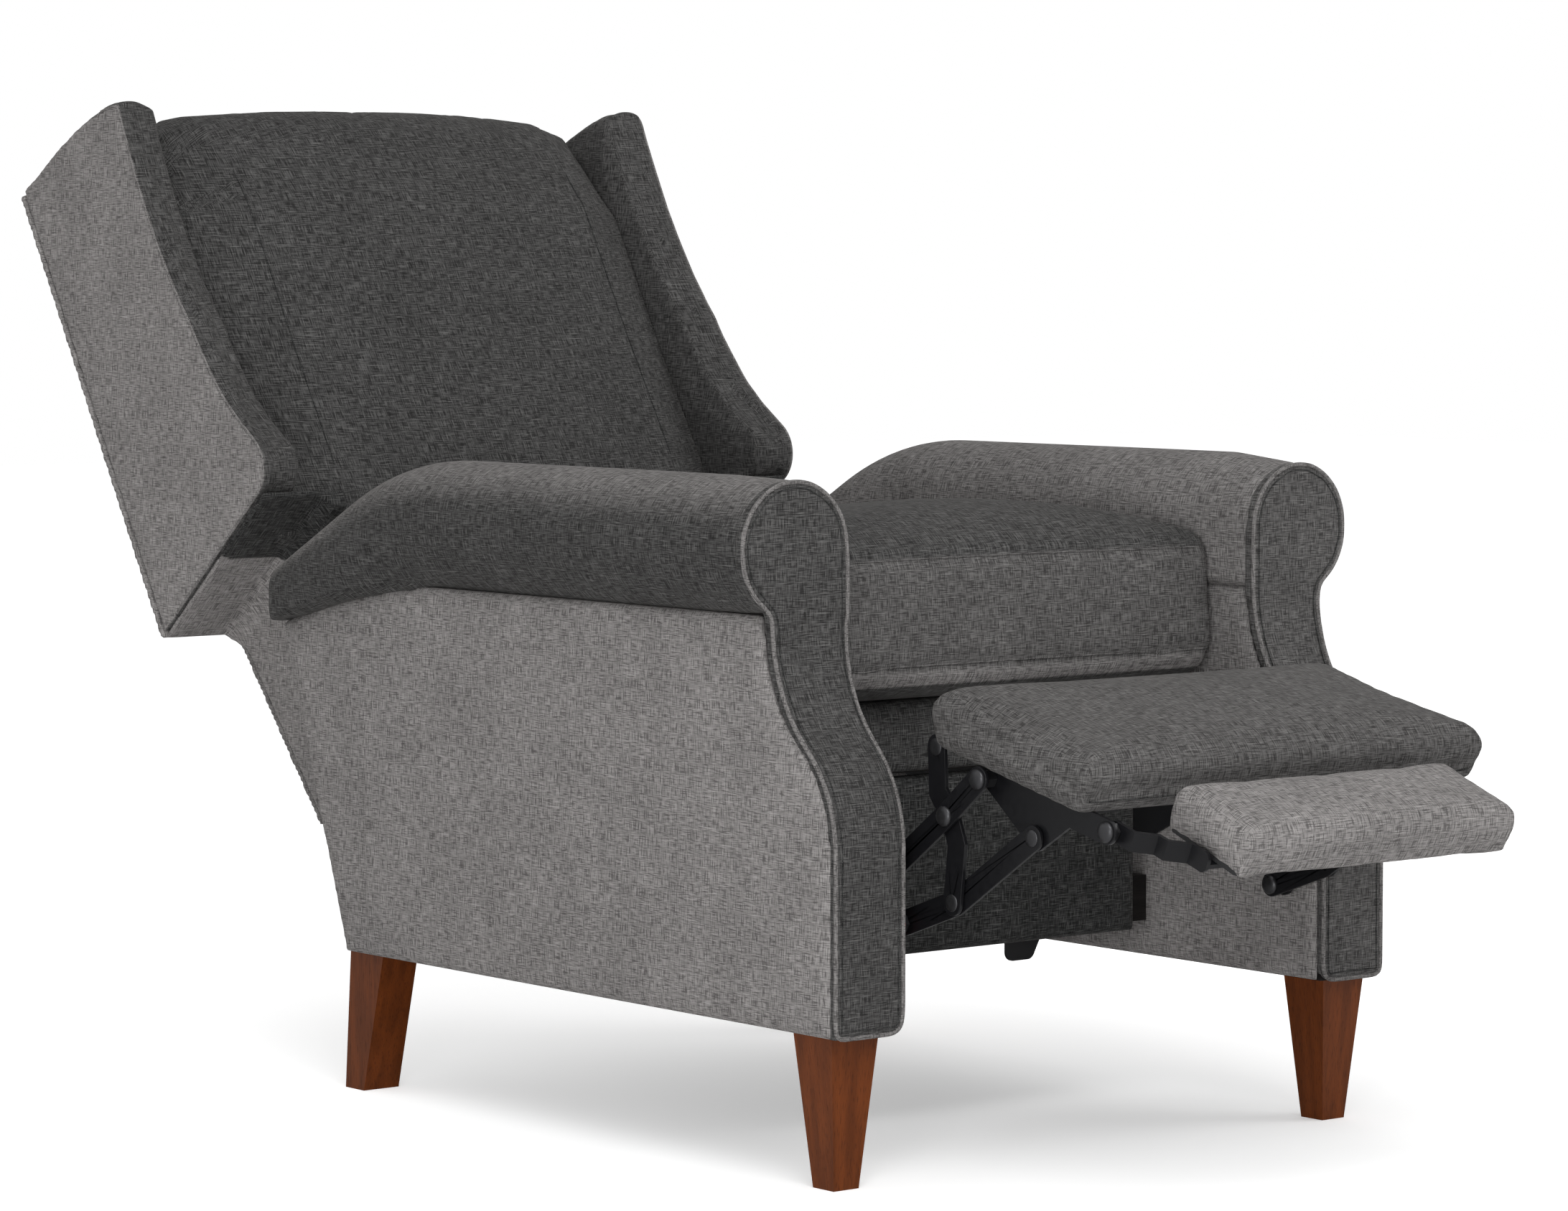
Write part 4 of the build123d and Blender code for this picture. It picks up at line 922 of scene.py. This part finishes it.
footrest_shape = wrapped("footrest_pad", "footrest_board", pad_tilt, pad_wrap)
footrest = remeshed(footrest_shape, "footrest_cover", cover_voxel, 2)
pad_held = pad_thickness + pad_wrap - pad_tack
swell(footrest, lambda place: pad_depth(place) > pad_held, cap=0.004)
plump(footrest, pad_tilt, pad_rise)
cover(footrest, plain(pad_nap), "footrest", ["footrest_pad"])
pad_ends = [
    pad_point(side * pad_seam_share * pad_half_width, pad_front, pad_thickness) for side in (-1, 1)
]
pad_seam = evenly(pad_ends, seam_pitch, False)
pad_surface = surface_of(footrest)
sew("footrest_stitching", pad_seam, pad_surface, stitch_radius, thread_nap, "footrest", False)
flap_shape = wrapped("flap_pad", "flap_board", flap_tilt, flap_wrap)
flap = remeshed(flap_shape, "flap_cover", cover_voxel, 2)
swell(flap, lambda place: False, cap=0.003)
plump(flap, flap_tilt, flap_rise)
cover(flap, plain(flap_nap), "flap", ["flap_pad"])


def grained(
    name, colour, stretch, detail, roughness, strength, distance, metallic=0.0, specular=0.5
):
    # A finish of one colour with a fine uneven gloss and grain
    material, tree, shader = new_material(name)
    place = add_node(tree, "ShaderNodeTexCoord")
    grain = stretched_noise(tree, place.outputs["Object"], stretch, detail)
    shader.inputs["Base Color"].default_value = colour
    shader.inputs["Metallic"].default_value = metallic
    shader.inputs["Specular IOR Level"].default_value = specular
    gloss = ranged(tree, grain, noise_low, noise_high, *roughness)
    tree.links.new(gloss, shader.inputs["Roughness"])
    bump_into(tree, shader, grain, strength, distance)
    return material


cambric = grained(
    "black_cambric", (0.012, 0.012, 0.013, 1), (900, 900, 900), 2.0, (0.85, 1.0), 0.3, 0.0003
)
for node in ("footrest_board", "flap_board"):
    dress(node, cambric)
    ease_edges(node, board_ease)

# Footrest linkage: stamped steel bars with a coat of black enamel, riveted so that they turn.
# Each side has a crank on the arm plate, two long bars, a cross bar and two brackets.
bar_ease = 0.0006
rivet_radius = 0.0093
rivet_rise = 0.0040
rivet_sink = 0.0026
pin_radius = 0.0078
pin_rise = 0.0013
dome_profile = (0, 1.0), (0.55, 0.93), (0.9, 0.68), (1.0, 0.32), (1.0, 0.0)
pins_seen = {
    "lower_link": ((0.2305, -0.6565, 0.3240),),
    "cross_link": ((0.2360, -0.5565, 0.2580), (0.2360, -0.5345, 0.3955)),
}
washer_place = Vector((0.2373, -0.4845, 0.2325))
washer_radius = 0.0093
washer_thickness = 0.002
enamel = grained(
    "black_enamel", (0.006, 0.006, 0.007, 1), (160, 160, 160), 4.0, (0.28, 0.44), 0.06, 0.0003,
    metallic=0.0, specular=0.2,
)
dark_zinc = grained(
    "dark_zinc", (0.055, 0.055, 0.058, 1), (300, 300, 300), 4.0, (0.32, 0.48), 0.06, 0.0003,
    metallic=0.85, specular=0.2,
)
for node in (
    "mechanism_plate_right", "mechanism_plate_left", "crank_links", "upper_links", "lower_links",
    "cross_links", "footrest_brackets", "flap_brackets", "rail_bracket", "back_brackets",
    "back_hinge_brackets",
):
    dress(node, enamel)
    ease_edges(node, bar_ease)
for node in (
    "leg_bolts", "pivot_bolts", "back_pivot_bolts", "crank_rivets", "upper_rivets", "flap_pins",
):
    dress(node, dark_zinc)


def islands(shape):
    # The separate solids of a mesh, as lists of points
    left = set(shape.verts)
    groups = []
    while left:
        front = [left.pop()]
        group = []
        while front:
            vert = front.pop()
            group.append(vert.co.copy())
            for edge in vert.link_edges:
                other = edge.other_vert(vert)
                if other in left:
                    left.remove(other)
                    front.append(other)
        groups.append(group)
    return groups


def dome(shape, place, outwards, radius, rise):
    # A low rivet head, turned round its axis across the chair
    points = [
        place + Vector((outwards * rise * height, share * radius, 0))
        for share, height in dome_profile
    ]
    verts = [shape.verts.new(point) for point in points]
    edges = [shape.edges.new(pair) for pair in zip(verts, verts[1:])]
    bmesh.ops.spin(
        shape, geom=verts + edges, cent=place, axis=(1, 0, 0), angle=2 * pi, steps=24,
        use_merge=True,
    )


def set_heads(heads, name, body):
    # Make some rivet heads one piece of zinc on their body
    bmesh.ops.remove_doubles(heads, verts=heads.verts, dist=join_distance)
    bmesh.ops.recalc_face_normals(heads, faces=heads.faces)
    domed = object_from(heads, name)
    domed.data.materials.append(dark_zinc)
    domed.data.shade_smooth()
    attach(domed, body)


riveted = (("crank_rivets", "crank"), ("upper_rivets", "upper_link"), ("flap_pins", "footrest"))
for node, body in riveted:
    pins = start_from(node)
    heads = bmesh.new()
    for points in islands(pins):
        for outwards in (-1, 1):
            end = max(outwards * point.x for point in points) * outwards
            y = (max(point.y for point in points) + min(point.y for point in points)) / 2
            z = (max(point.z for point in points) + min(point.z for point in points)) / 2
            under = Vector((end - outwards * rivet_sink, y, z))
            dome(heads, under, outwards, rivet_radius, rivet_rise)
    pins.free()
    set_heads(heads, node + "_heads", body)
for body, places in pins_seen.items():
    heads = bmesh.new()
    for across, ahead, up in places:
        for outwards in (-1, 1):
            under = Vector((outwards * across, ahead, up))
            dome(heads, under, outwards, pin_radius, pin_rise)
    set_heads(heads, body + "_heads", body)
washers = bmesh.new()
for flip in (-1, 1):
    spot = Matrix.Translation((flip * washer_place.x, washer_place.y, washer_place.z))
    bmesh.ops.create_cone(
        washers, cap_ends=True, segments=28, radius1=washer_radius, radius2=washer_radius,
        depth=washer_thickness, matrix=spot @ Matrix.Rotation(pi / 2, 4, "Y"),
    )
red_nylon, _, red_shader = new_material("red_nylon")
red_shader.inputs["Base Color"].default_value = (0.32, 0.015, 0.012, 1)
red_shader.inputs["Roughness"].default_value = 0.45
crank_washers = object_from(washers, "crank_washers")
crank_washers.data.materials.append(red_nylon)
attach(crank_washers, "crank")

# Webbing: black elastic straps tacked across the seat rails and the back posts.
# They are woven with raised ribs along their length.
strap_finish = grained(
    "elastic_webbing", (0.02, 0.02, 0.022, 1), (60, 500, 500), 1.0, (0.8, 0.95), 0.4, 0.0006
)
for node in ("seat_webbing", "back_webbing"):
    dress(node, strap_finish)

# Studio: a white floor whose glow is dimmed near the chair as a painted shadow, an even white sky,
# two wide soft lamps and a small low one.
# The camera stands where the chair was seen from, with a long lens.
camera = bpy.data.objects.new("camera", bpy.data.cameras.new("camera"))
scene.collection.objects.link(camera)
camera.location = (-3.20805, -4.00758, 0.82833)
camera.rotation_euler = (radians(86.155), 0, radians(-38.866))
camera.data.sensor_fit = "HORIZONTAL"
camera.data.sensor_width = 36
camera.data.lens = 118.68
scene.camera = camera

floor_shape = bmesh.new()
bmesh.ops.create_grid(floor_shape, x_segments=1, y_segments=1, size=14)
floor = object_from(floor_shape, "floor")
floor_finish, floor_tree, floor_shader = new_material("floor_paint")
floor_shader.inputs["Base Color"].default_value = (0.88, 0.88, 0.88, 1)
floor_shader.inputs["Roughness"].default_value = 0.9
floor_shader.inputs["Emission Color"].default_value = (1, 1, 1, 1)
floor_rays = add_node(floor_tree, "ShaderNodeLightPath")
floor_place = add_node(floor_tree, "ShaderNodeTexCoord")
# The floor's glow for the camera is dimmed round a spot under the chair: painted shadow.
painted_shadow_reach = add_node(floor_tree, "ShaderNodeVectorMath", operation="DISTANCE")
painted_shadow_reach.inputs[1].default_value = (0.2, -0.5, 0)
floor_tree.links.new(floor_place.outputs["Object"], painted_shadow_reach.inputs[0])
floor_glow = add_node(floor_tree, "ShaderNodeMath", operation="MULTIPLY")
painted_shadow_pool = ranged(floor_tree, painted_shadow_reach.outputs["Value"], 0.2, 1.2, 0.35, 0.54)
floor_tree.links.new(painted_shadow_pool, floor_glow.inputs[0])
floor_tree.links.new(floor_rays.outputs["Is Camera Ray"], floor_glow.inputs[1])
floor_tree.links.new(floor_glow.outputs[0], floor_shader.inputs["Emission Strength"])
floor.data.materials.append(floor_finish)

world = bpy.data.worlds.new("studio")
scene.world = world
world.use_nodes = True
world_tree = world.node_tree
sky = world_tree.nodes["Background"]
sky.inputs["Color"].default_value = (1, 1, 1, 1)
rays = add_node(world_tree, "ShaderNodeLightPath")
seen = add_node(world_tree, "ShaderNodeMath", operation="MAXIMUM")
world_tree.links.new(rays.outputs["Is Camera Ray"], seen.inputs[0])
world_tree.links.new(rays.outputs["Is Glossy Ray"], seen.inputs[1])
world_tree.links.new(ranged(world_tree, seen.outputs[0], 0, 1, 0.54, 1.0), sky.inputs["Strength"])


def soft_lamp(name, place, aim, size, energy):
    # A square lamp that points at a place on the chair
    lamp = bpy.data.lights.new(name, "AREA")
    lamp.shape = "SQUARE"
    lamp.size = size
    lamp.energy = energy
    holder = bpy.data.objects.new(name, lamp)
    scene.collection.objects.link(holder)
    holder.location = place
    holder.rotation_euler = (Vector(aim) - Vector(place)).to_track_quat("-Z", "Y").to_euler()


soft_lamp("key_lamp", (-1.6, -3.0, 3.4), (0, 0, 0.4), size=2.6, energy=100)
soft_lamp("fill_lamp", (3.0, -2.2, 2.2), (0, 0, 0.4), size=2.2, energy=36)
soft_lamp("low_lamp", (-3.0, -2.6, 0.45), (0, 0, 0.30), size=0.8, energy=38)
scene.view_settings.view_transform = "Standard"
